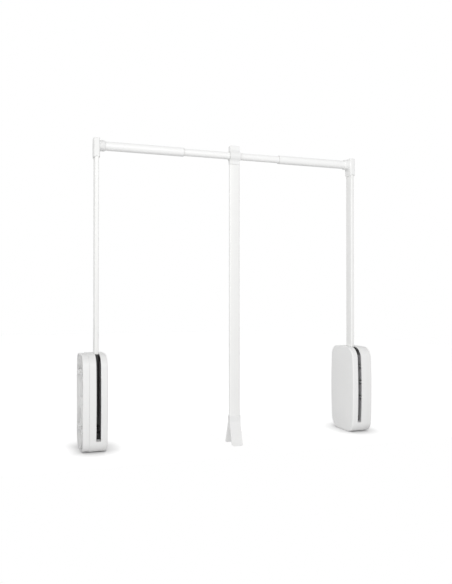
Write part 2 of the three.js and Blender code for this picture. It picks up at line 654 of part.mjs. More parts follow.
// Where the spring's wire runs: a straight leg against its post, the turns round the hub's
// sleeve, then a bend inwards to the hook that the sleeve drives.
function springPath() {
  const radius = springRadius();
  const startX = BASE_SHELL_DEPTH + CLEARANCE + WIRE_RADIUS;
  const endX = WALL_CHEEK_X - CLEARANCE - WIRE_RADIUS;
  const points = [new THREE.Vector3(startX, PIVOT_Y + radius, PIVOT_Z - SPRING_FIXED_LEG),
    new THREE.Vector3(startX, PIVOT_Y + radius, PIVOT_Z - SPRING_FIXED_LEG / 2)];
  const steps = SPRING_TURNS * WIRE_STEPS_PER_TURN;
  for (let i = 0; i <= steps; i += 1) {
    const angle = i / WIRE_STEPS_PER_TURN * 2 * Math.PI;
    points.push(new THREE.Vector3(startX + (endX - startX) * i / steps,
      PIVOT_Y + radius * Math.cos(angle), PIVOT_Z + radius * Math.sin(angle)));
  }
  const last = SPRING_TURNS * 2 * Math.PI;
  const out = new THREE.Vector3(0, Math.cos(last), Math.sin(last));
  const along = new THREE.Vector3(0, -Math.sin(last), Math.cos(last));
  const end = points[points.length - 1];
  for (let i = 1; i <= BEND_STEPS; i += 1) {
    const angle = i / BEND_STEPS * Math.PI / 2;
    points.push(end.clone().addScaledVector(along, SPRING_BEND_RADIUS * Math.sin(angle))
      .addScaledVector(out, -SPRING_BEND_RADIUS * (1 - Math.cos(angle))));
  }
  points.push(points[points.length - 1].clone().addScaledVector(out, -SPRING_HOOK));
  return points;
}

// A round wire through points, its section carried along without twisting.
function wireThrough(points, radius, sides) {
  const rings = [];
  let across = new THREE.Vector3(1, 0, 0);
  for (let i = 0; i < points.length; i += 1) {
    const before = points[Math.max(i - 1, 0)];
    const after = points[Math.min(i + 1, points.length - 1)];
    const ahead = after.clone().sub(before).normalize();
    across = across.clone().addScaledVector(ahead, -across.dot(ahead)).normalize();
    const up = ahead.clone().cross(across);
    const ring = [];
    for (let j = 0; j < sides; j += 1) {
      const angle = j / sides * 2 * Math.PI;
      ring.push(points[i].clone().addScaledVector(across, radius * Math.cos(angle))
        .addScaledVector(up, radius * Math.sin(angle)));
    }
    rings.push(ring);
  }
  return lofted(rings);
}

// The least distance between two turns of the wire, surface to surface.
function leastGap(points, radius, stepsPerTurn) {
  let least = Infinity;
  for (let i = 0; i < points.length; i += 1) {
    for (let j = i + Math.floor(stepsPerTurn / 2); j < points.length; j += 1) {
      least = Math.min(least, points[i].distanceTo(points[j]) - 2 * radius);
    }
  }
  return least;
}

function springSolid() {
  const points = springPath();
  console.log(`lift spring: least gap to itself ${leastGap(points, WIRE_RADIUS, WIRE_STEPS_PER_TURN)
    .toFixed(2)} mm`);
  return wireThrough(points, WIRE_RADIUS, WIRE_SIDES);
}

// Damper: a flat oil-filled can on the axle's end, held to the cheek by two ears.
function damperSolid() {
  const start = COVER_CHEEK_X + CHEEK_THICKNESS + CLEARANCE;
  const end = start + DAMPER_THICKNESS;
  const can = turnedAboutX([[start, 0], [start, DAMPER_RADIUS],
    [end - DAMPER_RIM, DAMPER_RADIUS], [end - DAMPER_RIM, DAMPER_RADIUS - DAMPER_RIM],
    [end, DAMPER_RADIUS - DAMPER_RIM - DAMPER_RIM_STEP], [end, 0]], PIVOT_Y, PIVOT_Z);
  const ears = [-1, 1].map((sign) => {
    const shape = evenRectangle(PIVOT_Y, PIVOT_Z + sign * DAMPER_EAR_REACH / 2, 2 * DAMPER_EAR_RADIUS,
      DAMPER_EAR_REACH + DAMPER_EAR_RADIUS, DAMPER_EAR_RADIUS);
    return pulledAlongX(shape, start, start + DAMPER_EAR_THICKNESS);
  });
  const earHoles = [-1, 1].map((sign) => rodAlongX(start - OVERRUN, start + DAMPER_EAR_THICKNESS + OVERRUN,
    DAMPER_EAR_HOLE_RADIUS, PIVOT_Y, PIVOT_Z + sign * (DAMPER_EAR_REACH - DAMPER_EAR_RADIUS / 2),
    SMALL_ROUND_STEPS));
  const bore = rodAlongX(start - OVERRUN, end - DAMPER_RIM, AXLE_RADIUS + CLEARANCE, PIVOT_Y, PIVOT_Z);
  return cut(joined(can, ...ears), bore, ...earHoles);
}

// Rubber block on the channel's web, which the raised arm leans on.
function restStopSolid() {
  const top = BOX_TOP - REST_STOP_BELOW_TOP;
  return pulledAlongX(evenRectangle((PIVOT_Y + ARM_DEPTH / 2 + CHANNEL_WEB_FRONT) / 2,
    top - REST_STOP_HEIGHT / 2, CHANNEL_WEB_BEHIND_ARM - 2 * CLEARANCE, REST_STOP_HEIGHT, STOP_CORNER),
  WALL_TO_ARM - REST_STOP_WIDTH / 2, WALL_TO_ARM + REST_STOP_WIDTH / 2);
}

// The upper edge of the down stop, by Y and Z, under the arm when it is right down.
function downStopEdge() {
  const ahead = new THREE.Vector2(-Math.sin(ARM_DOWN_ANGLE), Math.cos(ARM_DOWN_ANGLE));
  const under = new THREE.Vector2(-Math.cos(ARM_DOWN_ANGLE), -Math.sin(ARM_DOWN_ANGLE));
  const near = new THREE.Vector2(PIVOT_Y, PIVOT_Z)
    .addScaledVector(under, ARM_DEPTH / 2 + CLEARANCE)
    .addScaledVector(ahead, DOWN_STOP_REACH - DOWN_STOP_LENGTH);
  return [near, near.clone().addScaledVector(ahead, DOWN_STOP_LENGTH)];
}

function downStopRear() {
  return downStopEdge()[0].x;
}

// Rubber block on the slot's sill, whose sloping top meets the arm when it is right down.
function downStopSolid() {
  const [near, far] = downStopEdge();
  const low = BOX_BOTTOM + SLOT_ABOVE_BASE;
  const shape = new THREE.Shape();
  shape.moveTo(far.x, low);
  shape.lineTo(near.x, low);
  shape.lineTo(near.x, near.y);
  shape.lineTo(far.x, far.y);
  shape.closePath();
  return pulledAlongX(shape, WALL_TO_ARM - CHANNEL_HALF + CLEARANCE, WALL_TO_ARM + CHANNEL_HALF - CLEARANCE);
}

// Hub: the eye on the axle, the sleeve that drives the spring, a shank of the arm's own section,
// cored out on both sides between its ribs, and the tongue in the arm's foot.
function hubSolid() {
  const eye = new THREE.Shape();
  const shoulder = ARM_START_ABOVE_PIVOT - CLEARANCE;
  eye.moveTo(PIVOT_Y + ARM_DEPTH / 2, PIVOT_Z);
  eye.lineTo(PIVOT_Y + ARM_DEPTH / 2, PIVOT_Z + HUB_EYE_ABOVE_PIVOT);
  eye.lineTo(PIVOT_Y - ARM_DEPTH / 2, PIVOT_Z + HUB_EYE_ABOVE_PIVOT);
  eye.lineTo(PIVOT_Y - ARM_DEPTH / 2, PIVOT_Z);
  eye.absarc(PIVOT_Y, PIVOT_Z, ARM_DEPTH / 2, Math.PI, 2 * Math.PI, false);
  const half = ARM_THICKNESS / 2 + HUB_SHOULDER;
  const body = pulledAlongX(eye, WALL_TO_ARM - half, WALL_TO_ARM + half, ROUND_STEPS / 2);
  const sleeve = rodAlongX(BASE_SHELL_DEPTH + CLEARANCE, WALL_TO_ARM, SLEEVE_RADIUS, PIVOT_Y, PIVOT_Z);
  const shank = pulledAlongZ(evenRectangle(WALL_TO_ARM, PIVOT_Y, ARM_THICKNESS, ARM_DEPTH, ARM_CORNER),
    PIVOT_Z, PIVOT_Z + shoulder);
  const inset = ARM_WALL + CLEARANCE;
  const tongue = pulledAlongZ(evenRectangle(WALL_TO_ARM, PIVOT_Y, ARM_THICKNESS - 2 * inset,
    ARM_DEPTH - 2 * inset, ARM_CORNER - inset), PIVOT_Z, PIVOT_Z + shoulder + HUB_TONGUE);
  const bore = rodAlongX(0, WIDTH, AXLE_RADIUS + CLEARANCE, PIVOT_Y, PIVOT_Z);
  const path = springPath();
  const tip = path[path.length - 1];
  const bend = path[path.length - 2];
  const way = tip.clone().sub(bend).normalize();
  const hookHole = rodBetween(bend.clone().addScaledVector(way, -OVERRUN),
    tip.clone().addScaledVector(way, CLEARANCE), WIRE_RADIUS + CLEARANCE);
  const bendRoom = rodBetween(
    bend.clone().addScaledVector(way, -SPRING_BEND_RADIUS).setX(bend.x),
    tip.clone(), WIRE_RADIUS + 2 * CLEARANCE);
  return cut(joined(body, sleeve, shank, tongue), bore, hookHole, bendRoom, ...hubPockets(shoulder));
}

// The pockets in both sides of the hub's shank, which leave a web in its middle and ribs across it.
function hubPockets(shoulder) {
  const pitch = (shoulder - HUB_EYE_ABOVE_PIVOT - HUB_RIB) / HUB_POCKETS;
  const pockets = [];
  for (let i = 0; i < HUB_POCKETS; i += 1) {
    const low = PIVOT_Z + HUB_EYE_ABOVE_PIVOT + HUB_RIB + i * pitch;
    const outline = roundedRectangle(PIVOT_Y - ARM_DEPTH / 2 + HUB_RIB, PIVOT_Y + ARM_DEPTH / 2 - HUB_RIB,
      low, low + pitch - HUB_RIB,
      [HUB_POCKET_CORNER, HUB_POCKET_CORNER, HUB_POCKET_CORNER, HUB_POCKET_CORNER]);
    const webHalf = HUB_WEB / 2;
    pockets.push(pulledAlongX(outline, WALL_TO_ARM + webHalf, WALL_TO_ARM + ARM_THICKNESS, 1));
    pockets.push(pulledAlongX(outline, WALL_TO_ARM - ARM_THICKNESS, WALL_TO_ARM - webHalf, 1));
  }
  return pockets;
}

// Arm: a flat steel tube from the hub to the corner connector.
function armSolid() {
  const low = PIVOT_Z + ARM_START_ABOVE_PIVOT;
  const high = RAIL_Z - CONNECTOR_BELOW_RAIL + armSocketDepth() - CLEARANCE;
  const outside = pulledAlongZ(evenRectangle(WALL_TO_ARM, PIVOT_Y, ARM_THICKNESS, ARM_DEPTH, ARM_CORNER),
    low, high);
  const inside = pulledAlongZ(evenRectangle(WALL_TO_ARM, PIVOT_Y, ARM_THICKNESS - 2 * ARM_WALL,
    ARM_DEPTH - 2 * ARM_WALL, ARM_CORNER - ARM_WALL), low - OVERRUN, high + OVERRUN);
  return cut(outside, inside, fixingScrewHole());
}

function armSocketDepth() {
  return CONNECTOR_BELOW_RAIL - OUTER_TUBE_RADIUS - CLEARANCE - CONNECTOR_FLOOR;
}

// The hole for the screw that holds the arm in its connector, from behind.
function fixingScrewHole() {
  const rear = PIVOT_Y + CONNECTOR_DEPTH / 2;
  const z = RAIL_Z - FIXING_SCREW_BELOW_RAIL;
  return rodBetween(new THREE.Vector3(WALL_TO_ARM, PIVOT_Y, z),
    new THREE.Vector3(WALL_TO_ARM, rear + OVERRUN, z), FIXING_SCREW_RADIUS + CLEARANCE);
}

function fixingScrewSolid() {
  const rear = PIVOT_Y + CONNECTOR_DEPTH / 2;
  const z = RAIL_Z - FIXING_SCREW_BELOW_RAIL;
  const at = (y) => new THREE.Vector3(WALL_TO_ARM, y, z);
  return joined(
    rodBetween(at(rear - FIXING_SCREW_LENGTH), at(rear), FIXING_SCREW_RADIUS),
    rodBetween(at(rear + CLEARANCE), at(rear + CLEARANCE + FIXING_SCREW_HEAD), FIXING_SCREW_HEAD_RADIUS),
    rodBetween(at(rear - CLEARANCE), at(rear + 2 * CLEARANCE), FIXING_SCREW_RADIUS));
}

// Corner connector: a moulding with a socket for the arm below and a ferrule for the crossbar.
function connectorSolid() {
  const front = PIVOT_Y - CONNECTOR_DEPTH / 2;
  const rear = PIVOT_Y + CONNECTOR_DEPTH / 2;
  const low = RAIL_Z - CONNECTOR_BELOW_RAIL;
  const high = RAIL_Z + CONNECTOR_ABOVE_RAIL;
  const half = CONNECTOR_THICKNESS / 2;
  const side = pulledAlongX(roundedRectangle(front, rear, low, high,
    [0, CONNECTOR_BOTTOM_REAR_CORNER, CONNECTOR_TOP_REAR_CORNER, CONNECTOR_TOP_FRONT_CORNER]),
  WALL_TO_ARM - half, WALL_TO_ARM + half);
  const plan = pulledAlongZ(evenRectangle(WALL_TO_ARM, PIVOT_Y, CONNECTOR_THICKNESS, CONNECTOR_DEPTH,
    CONNECTOR_EDGE), low - OVERRUN, high + OVERRUN);
  const ferrule = turnedAboutX([[WALL_TO_ARM, 0], [WALL_TO_ARM, FERRULE_RADIUS],
    [WALL_TO_ARM + FERRULE_END_FROM_ARM - FERRULE_CHAMFER, FERRULE_RADIUS],
    [WALL_TO_ARM + FERRULE_END_FROM_ARM, FERRULE_RADIUS - FERRULE_CHAMFER],
    [WALL_TO_ARM + FERRULE_END_FROM_ARM, 0]], PIVOT_Y, RAIL_Z);
  const tubeSocket = rodAlongX(WALL_TO_ARM + half - CONNECTOR_FACE_WALL, WIDTH,
    OUTER_TUBE_RADIUS + CLEARANCE, PIVOT_Y, RAIL_Z);
  const armSocket = pulledAlongZ(evenRectangle(WALL_TO_ARM, PIVOT_Y, ARM_THICKNESS + 2 * CLEARANCE,
    ARM_DEPTH + 2 * CLEARANCE, ARM_CORNER + CLEARANCE), low - OVERRUN, low + armSocketDepth());
  const archRadius = (half * half + CONNECTOR_ARCH * CONNECTOR_ARCH) / (2 * CONNECTOR_ARCH);
  const arch = new THREE.Shape();
  arch.absarc(WALL_TO_ARM, low + CONNECTOR_ARCH - archRadius, archRadius, 0, 2 * Math.PI, false);
  const archCut = pulledAlongY(arch, front - OVERRUN, rear + OVERRUN, ROUND_STEPS);
  return cut(joined(side.intersect(plan), ferrule), tubeSocket, armSocket, archCut, fixingScrewHole());
}

function outerTubeSolid() {
  const start = WALL_TO_ARM + CONNECTOR_THICKNESS / 2 - CONNECTOR_FACE_WALL + CLEARANCE;
  return tubeAlongX(start, WALL_TO_ARM + OUTER_TUBE_MOUTH_FROM_ARM, OUTER_TUBE_RADIUS,
    OUTER_TUBE_RADIUS - OUTER_TUBE_WALL, PIVOT_Y, RAIL_Z);
}

// Guide ring in the outer tube's mouth, which the inner tube slides in.
function guideSolid() {
  const mouth = WALL_TO_ARM + OUTER_TUBE_MOUTH_FROM_ARM;
  const bore = INNER_TUBE_RADIUS + CLEARANCE;
  const sleeve = OUTER_TUBE_RADIUS - OUTER_TUBE_WALL - CLEARANCE;
  const lip = OUTER_TUBE_RADIUS - GUIDE_LIP_BELOW_TUBE;
  return turnedAboutX([[mouth - GUIDE_LENGTH, bore], [mouth - GUIDE_LENGTH, sleeve],
    [mouth + CLEARANCE, sleeve], [mouth + CLEARANCE, lip], [mouth + CLEARANCE + GUIDE_LIP, lip],
    [mouth + CLEARANCE + GUIDE_LIP, bore]], PIVOT_Y, RAIL_Z);
}

// A cover screw, driven from the wall side into its boss.
function coverScrewSolid([y, z]) {
  const seat = BASE_FLOOR_X - CLEARANCE;
  return turnedAboutX([[seat - COVER_SCREW_HEAD, 0], [seat - COVER_SCREW_HEAD, COVER_SCREW_HEAD_RADIUS],
    [seat, COVER_SCREW_HEAD_RADIUS], [seat, COVER_SCREW_RADIUS],
    [seat + COVER_SCREW_LENGTH, COVER_SCREW_RADIUS], [seat + COVER_SCREW_LENGTH, 0]], y, z,
  SMALL_ROUND_STEPS);
}

// Inner tube of the crossbar, which slides in both outer tubes and carries the pull bar.
function innerTubeSolid() {
  return tubeAlongX(WALL_TO_ARM + INNER_TUBE_END_FROM_ARM, WIDTH - WALL_TO_ARM - INNER_TUBE_END_FROM_ARM,
    INNER_TUBE_RADIUS, INNER_TUBE_RADIUS - INNER_TUBE_WALL, PIVOT_Y, RAIL_Z);
}

// Head of the pull bar: a plate with a ring round the crossbar and a tongue in the bar's top.
function headSolid() {
  const left = BAR_X - BAR_WIDTH / 2;
  const right = BAR_X + BAR_WIDTH / 2;
  const plate = pulledAlongX(evenRectangle(PIVOT_Y, RAIL_Z + (HEAD_ABOVE_RAIL - HEAD_BELOW_RAIL) / 2,
    HEAD_DEPTH, HEAD_ABOVE_RAIL + HEAD_BELOW_RAIL, HEAD_EDGE), left, right);
  const ring = rodAlongX(left, right, HEAD_RING_RADIUS, PIVOT_Y, RAIL_Z);
  const neck = pulledAlongX(neckOutline(), left, right);
  const front = pulledAlongY(roundedRectangle(left, right, RAIL_Z - HEAD_BELOW_RAIL,
    RAIL_Z + HEAD_ABOVE_RAIL, [0, 0, HEAD_TOP_CORNER, HEAD_TOP_CORNER]),
  PIVOT_Y - BAR_WIDTH, PIVOT_Y + BAR_WIDTH);
  const inset = BAR_WALL + CLEARANCE;
  const tongue = pulledAlongZ(evenRectangle(BAR_X, PIVOT_Y, BAR_WIDTH - 2 * inset, BAR_DEPTH - 2 * inset,
    BAR_CORNER - inset), RAIL_Z - HEAD_BELOW_RAIL - HEAD_TONGUE, RAIL_Z - HEAD_BORE);
  const bore = rodAlongX(0, WIDTH, HEAD_BORE, PIVOT_Y, RAIL_Z);
  return cut(joined(joined(plate, ring, neck).intersect(front), tongue), bore);
}

// The hollow curves that lead from the head's ring into its plate, above and below.
function neckOutline() {
  const reach = HEAD_RING_RADIUS + HEAD_NECK_RADIUS;
  const across = HEAD_DEPTH / 2 + HEAD_NECK_RADIUS;
  const rise = Math.sqrt(reach * reach - across * across);
  const meet = Math.atan2(rise, across);
  const shape = new THREE.Shape();
  const quarters = [[1, 1], [-1, 1], [-1, -1], [1, -1]];
  quarters.forEach(([signY, signZ], number) => {
    const ringPoint = new THREE.Vector2(PIVOT_Y + signY * HEAD_RING_RADIUS * Math.cos(meet),
      RAIL_Z + signZ * HEAD_RING_RADIUS * Math.sin(meet));
    const platePoint = new THREE.Vector2(PIVOT_Y + signY * HEAD_DEPTH / 2, RAIL_Z + signZ * rise);
    const middle = Math.atan2(rise, across) / 2;
    const hollow = new THREE.Vector2(
      PIVOT_Y + signY * (across - HEAD_NECK_RADIUS * Math.cos(middle)),
      RAIL_Z + signZ * (rise - HEAD_NECK_RADIUS * Math.sin(middle)));
    const points = signY * signZ > 0 ? [ringPoint, hollow, platePoint] : [platePoint, hollow, ringPoint];
    points.forEach((point, order) => {
      if (number === 0 && order === 0) {
        shape.moveTo(point.x, point.y);
      } else {
        shape.lineTo(point.x, point.y);
      }
    });
  });
  shape.closePath();
  return shape;
}

// Flanged bush in one side of the head; side is -1 on the left and 1 on the right.
function headBushSolid(side) {
  const face = BAR_X + side * BAR_WIDTH / 2;
  const bore = INNER_TUBE_RADIUS + CLEARANCE;
  const flange = HEAD_BORE + BUSH_FLANGE_RISE;
  const at = (distance) => face + side * distance;
  return turnedAboutX([[at(-BUSH_LENGTH), bore], [at(-BUSH_LENGTH), bore + BUSH_WALL],
    [at(CLEARANCE), bore + BUSH_WALL], [at(CLEARANCE), flange],
    [at(CLEARANCE + BUSH_FLANGE), flange], [at(CLEARANCE + BUSH_FLANGE), bore]],
  PIVOT_Y, RAIL_Z);
}

// Pull bar: a flat tube from the head down into the grip.
function pullBarSolid() {
  const low = RAIL_Z - GRIP_TOP_BELOW_RAIL - GRIP_SOCKET_DEPTH + CLEARANCE;
  const high = RAIL_Z - HEAD_BELOW_RAIL - CLEARANCE;
  const outside = pulledAlongZ(evenRectangle(BAR_X, PIVOT_Y, BAR_WIDTH, BAR_DEPTH, BAR_CORNER), low, high);
  const inside = pulledAlongZ(evenRectangle(BAR_X, PIVOT_Y, BAR_WIDTH - 2 * BAR_WALL,
    BAR_DEPTH - 2 * BAR_WALL, BAR_CORNER - BAR_WALL), low - OVERRUN, high + OVERRUN);
  return cut(outside, inside, gripScrewHole());
}

function gripScrewHole() {
  const z = RAIL_Z - GRIP_TOP_BELOW_RAIL - GRIP_SCREW_BELOW_TOP;
  return rodBetween(new THREE.Vector3(BAR_X, PIVOT_Y, z),
    new THREE.Vector3(BAR_X, PIVOT_Y + GRIP_COLLAR_DEPTH, z), FIXING_SCREW_RADIUS + CLEARANCE);
}

function gripScrewSolid() {
  const z = RAIL_Z - GRIP_TOP_BELOW_RAIL - GRIP_SCREW_BELOW_TOP;
  const face = PIVOT_Y + collarReach(GRIP_SCREW_BELOW_TOP - FIXING_SCREW_HEAD_RADIUS);
  const at = (y) => new THREE.Vector3(BAR_X, y, z);
  return joined(rodBetween(at(face - GRIP_SCREW_LENGTH), at(face + 2 * CLEARANCE), FIXING_SCREW_RADIUS),
    rodBetween(at(face + CLEARANCE), at(face + CLEARANCE + FIXING_SCREW_HEAD), FIXING_SCREW_HEAD_RADIUS));
}

// How far the grip's collar stands from the bar's middle this far below its top.
function collarReach(belowTop) {
  const share = 1 - belowTop / GRIP_COLLAR_HEIGHT;
  return GRIP_COLLAR_DEPTH / 2 + GRIP_COLLAR_FLARE * share;
}

// Grip: a collar round the bar's end from which two legs spread, one to the front and one back.
// The collar flares a little at its mouth, and each leg kicks out at its toe.
function gripSolid() {
  const top = RAIL_Z - GRIP_TOP_BELOW_RAIL;
  const low = top - GRIP_HEIGHT;
  const crotch = top - GRIP_CROTCH_BELOW_TOP;
  const shape = new THREE.Shape();
  shape.moveTo(PIVOT_Y - collarReach(0), top);
  shape.lineTo(PIVOT_Y - GRIP_COLLAR_DEPTH / 2, top - GRIP_COLLAR_HEIGHT);
  shape.lineTo(PIVOT_Y - GRIP_FRONT_REACH + GRIP_TOE_KICK, low + GRIP_TOE_HEIGHT);
  shape.lineTo(PIVOT_Y - GRIP_FRONT_REACH, low + GRIP_TOE_RADIUS);
  shape.quadraticCurveTo(PIVOT_Y - GRIP_FRONT_REACH, low,
    PIVOT_Y - GRIP_FRONT_REACH + GRIP_LEG_THICKNESS, low + GRIP_TOE_RADIUS / 2);
  shape.lineTo(PIVOT_Y - legInside(GRIP_FRONT_REACH), low + GRIP_TOE_HEIGHT);
  shape.lineTo(PIVOT_Y - GRIP_CROTCH_RADIUS, crotch);
  shape.quadraticCurveTo(PIVOT_Y, crotch + GRIP_CROTCH_RADIUS, PIVOT_Y + GRIP_CROTCH_RADIUS, crotch);
  shape.lineTo(PIVOT_Y + legInside(GRIP_REAR_REACH), low + GRIP_TOE_HEIGHT);
  shape.lineTo(PIVOT_Y + GRIP_REAR_REACH - GRIP_LEG_THICKNESS, low + GRIP_TOE_RADIUS / 2);
  shape.quadraticCurveTo(PIVOT_Y + GRIP_REAR_REACH, low, PIVOT_Y + GRIP_REAR_REACH, low + GRIP_TOE_RADIUS);
  shape.lineTo(PIVOT_Y + GRIP_REAR_REACH - GRIP_TOE_KICK, low + GRIP_TOE_HEIGHT);
  shape.lineTo(PIVOT_Y + GRIP_COLLAR_DEPTH / 2, top - GRIP_COLLAR_HEIGHT);
  shape.lineTo(PIVOT_Y + collarReach(0), top);
  shape.closePath();
  const left = BAR_X - GRIP_WIDTH / 2;
  const right = BAR_X + GRIP_WIDTH / 2;
  const legs = pulledAlongX(shape, left, right);
  const front = pulledAlongY(roundedRectangle(left, right, low - OVERRUN, top,
    [GRIP_TOE_CORNER + OVERRUN, GRIP_TOE_CORNER + OVERRUN, GRIP_COLLAR_CORNER, GRIP_COLLAR_CORNER]),
  PIVOT_Y - GRIP_REAR_REACH - OVERRUN, PIVOT_Y + GRIP_REAR_REACH + OVERRUN);
  const socket = pulledAlongZ(evenRectangle(BAR_X, PIVOT_Y, BAR_WIDTH + 2 * CLEARANCE,
    BAR_DEPTH + 2 * CLEARANCE, BAR_CORNER), top - GRIP_SOCKET_DEPTH, top + OVERRUN);
  const ribs = [-1, 1].map((side) => gripRib(side, low, crotch));
  return cut(joined(legs, ...ribs).intersect(front), socket, gripScrewHole());
}

// How far a leg's inner face stands from the bar's middle where the leg meets its toe.
function legInside(reach) {
  return reach - GRIP_TOE_KICK - GRIP_LEG_THICKNESS;
}

// A stiffening rib down the inner face of one leg; side is -1 on the front leg, 1 on the rear.
function gripRib(side, low, crotch) {
  const inside = legInside(side < 0 ? GRIP_FRONT_REACH : GRIP_REAR_REACH);
  const foot = low + GRIP_TOE_HEIGHT;
  const shape = new THREE.Shape();
  shape.moveTo(PIVOT_Y, crotch + GRIP_CROTCH_RADIUS);
  shape.lineTo(PIVOT_Y + side * (inside + GRIP_LEG_THICKNESS / 2), foot);
  shape.lineTo(PIVOT_Y + side * (inside - GRIP_RIB_HEIGHT), foot);
  shape.lineTo(PIVOT_Y, crotch - GRIP_RIB_HEIGHT);
  shape.closePath();
  return pulledAlongX(shape, BAR_X - GRIP_RIB_THICKNESS / 2, BAR_X + GRIP_RIB_THICKNESS / 2);
}

const lift = new THREE.Group();
lift.name = 'pull_down_rail';

function addPiece(parent, name, geometry, finish) {
  const mesh = new THREE.Mesh(geometry, new THREE.MeshStandardMaterial(finish));
  mesh.name = name;
  parent.add(mesh);
}

// Everything that the left and the right end have alike, drawn for the left.
function endPieces() {
  const pieces = [
    ['base_shell', baseShellSolid(), white_plastic],
    ['cover', coverSolid(), white_plastic],
    ['channel', channelSolid(), zinc_steel],
    ['lift_spring', springSolid(), spring_steel],
    ['damper', damperSolid(), grey_plastic],
    ['rest_stop', restStopSolid(), black_rubber],
    ['down_stop', downStopSolid(), black_rubber],
    ['axle', axleSolid(), zinc_steel],
    ['arm_hub', hubSolid(), black_plastic],
    ['arm_tube', armSolid(), white_steel],
    ['corner_connector', connectorSolid(), white_plastic],
    ['connector_screw', fixingScrewSolid(), zinc_steel],
    ['outer_tube', outerTubeSolid(), white_steel],
    ['tube_guide', guideSolid(), nylon],
  ];
  coverScrewPlaces().forEach((place, number) => {
    pieces.push([`cover_screw_${number + 1}`, coverScrewSolid(place), zinc_steel]);
  });
  return pieces.map(([name, solid, finish]) => [name, toGeometry(solid), finish]);
}

const leftEnd = new THREE.Group();
const rightEnd = new THREE.Group();
for (const [name, geometry, finish] of endPieces()) {
  addPiece(leftEnd, `left_${name}`, geometry, finish);
  addPiece(rightEnd, `right_${name}`, mirrored(geometry), finish);
}

const middle = new THREE.Group();
addPiece(middle, 'inner_tube', toGeometry(innerTubeSolid()), white_steel);
addPiece(middle, 'bar_head', toGeometry(headSolid()), white_plastic);
addPiece(middle, 'bar_head_bush_left', toGeometry(headBushSolid(-1)), nylon);
addPiece(middle, 'bar_head_bush_right', toGeometry(headBushSolid(1)), nylon);
addPiece(middle, 'pull_bar', toGeometry(pullBarSolid()), white_steel);
addPiece(middle, 'grip', toGeometry(gripSolid()), white_plastic);
addPiece(middle, 'grip_screw', toGeometry(gripScrewSolid()), zinc_steel);

lift.add(leftEnd, middle, rightEnd);

export default lift;
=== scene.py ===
import json
import math

import bmesh
import bpy
from mathutils import Matrix, Vector


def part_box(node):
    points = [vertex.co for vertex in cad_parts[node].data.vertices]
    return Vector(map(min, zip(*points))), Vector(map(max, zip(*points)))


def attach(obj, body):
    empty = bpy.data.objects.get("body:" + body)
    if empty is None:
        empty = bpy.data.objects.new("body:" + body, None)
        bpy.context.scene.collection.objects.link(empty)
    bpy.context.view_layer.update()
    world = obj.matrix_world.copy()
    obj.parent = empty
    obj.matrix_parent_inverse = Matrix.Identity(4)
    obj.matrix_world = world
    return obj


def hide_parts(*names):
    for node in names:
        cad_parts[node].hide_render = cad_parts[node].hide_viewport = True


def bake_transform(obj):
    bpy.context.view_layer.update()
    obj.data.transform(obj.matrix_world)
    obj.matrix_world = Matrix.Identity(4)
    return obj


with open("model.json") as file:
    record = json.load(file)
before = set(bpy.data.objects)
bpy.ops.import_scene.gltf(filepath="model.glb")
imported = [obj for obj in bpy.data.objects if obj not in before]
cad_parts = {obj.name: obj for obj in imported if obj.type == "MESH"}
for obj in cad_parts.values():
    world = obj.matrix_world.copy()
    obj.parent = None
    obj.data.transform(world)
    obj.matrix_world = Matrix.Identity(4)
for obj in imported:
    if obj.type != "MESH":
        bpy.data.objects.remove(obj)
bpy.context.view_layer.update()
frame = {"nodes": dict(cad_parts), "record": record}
MM = 0.001


# Camera. It stands 1.8 m in front of the lift, left of it and a little below the crossbar, and
# looks 20 degrees to the right, as a fit of the photograph's straight edges gives.
CAMERA_PLACE = (-0.2217, -1.7823, 0.2797)
CAMERA_TURN = math.radians(19.81)
CAMERA_TILT = math.radians(0.53)
FOCAL_PIXELS = 646.7
PHOTO_PIXELS_HIGH = 584
SENSOR_MM = 36

camera = bpy.data.objects.new("camera", bpy.data.cameras.new("camera"))
camera.data.sensor_width = SENSOR_MM
camera.data.lens = FOCAL_PIXELS * SENSOR_MM / PHOTO_PIXELS_HIGH
camera.location = CAMERA_PLACE
camera.rotation_euler = (math.pi / 2 + CAMERA_TILT, 0, -CAMERA_TURN)
bpy.context.scene.collection.objects.link(camera)
bpy.context.scene.camera = camera
bpy.context.scene.view_settings.view_transform = "Standard"


# Studio. A white room gives soft light from all sides, a little more of it from below. One large
# soft lamp stands in front of the lift and above it, and a wide weak one shines in from the left,
# so fronts are brightest and the faces to the left come next.
ROOM_LIGHT_ABOVE = 0.49
ROOM_LIGHT_BELOW = 0.62
ROOM_LIGHT_CHANGE = 0.4
LAMP_SIZE = 1.1
LAMP_POWER = 11.5
LAMP_PLACE = Vector((0.25, -1.75, 0.95))
LAMP_TARGET = Vector((0.45, 0, 0.25))
SIDE_LAMP_SPREAD = 0.7
SIDE_LAMP_POWER = 0.8
SIDE_LAMP_WAY = Vector((0.8, 0.5, -0.15))

world = bpy.data.worlds.new("white_room")
world.use_nodes = True
bpy.context.scene.world = world
nodes, links = world.node_tree.nodes, world.node_tree.links
nodes.clear()
seen = nodes.new("ShaderNodeLightPath")
straight = nodes.new("ShaderNodeMath")
straight.operation = "MAXIMUM"
links.new(seen.outputs["Is Camera Ray"], straight.inputs[0])
links.new(seen.outputs["Is Glossy Ray"], straight.inputs[1])
either = nodes.new("ShaderNodeMath")
either.operation = "MAXIMUM"
links.new(straight.outputs[0], either.inputs[0])
links.new(seen.outputs["Is Transmission Ray"], either.inputs[1])
shown = nodes.new("ShaderNodeBackground")
shown.inputs["Strength"].default_value = 1
shown.inputs["Color"].default_value = (1, 1, 1, 1)
given = nodes.new("ShaderNodeBackground")
way = nodes.new("ShaderNodeTexCoord")
height = nodes.new("ShaderNodeSeparateXYZ")
links.new(way.outputs["Generated"], height.inputs[0])
level = nodes.new("ShaderNodeMapRange")
level.inputs["From Min"].default_value = -ROOM_LIGHT_CHANGE
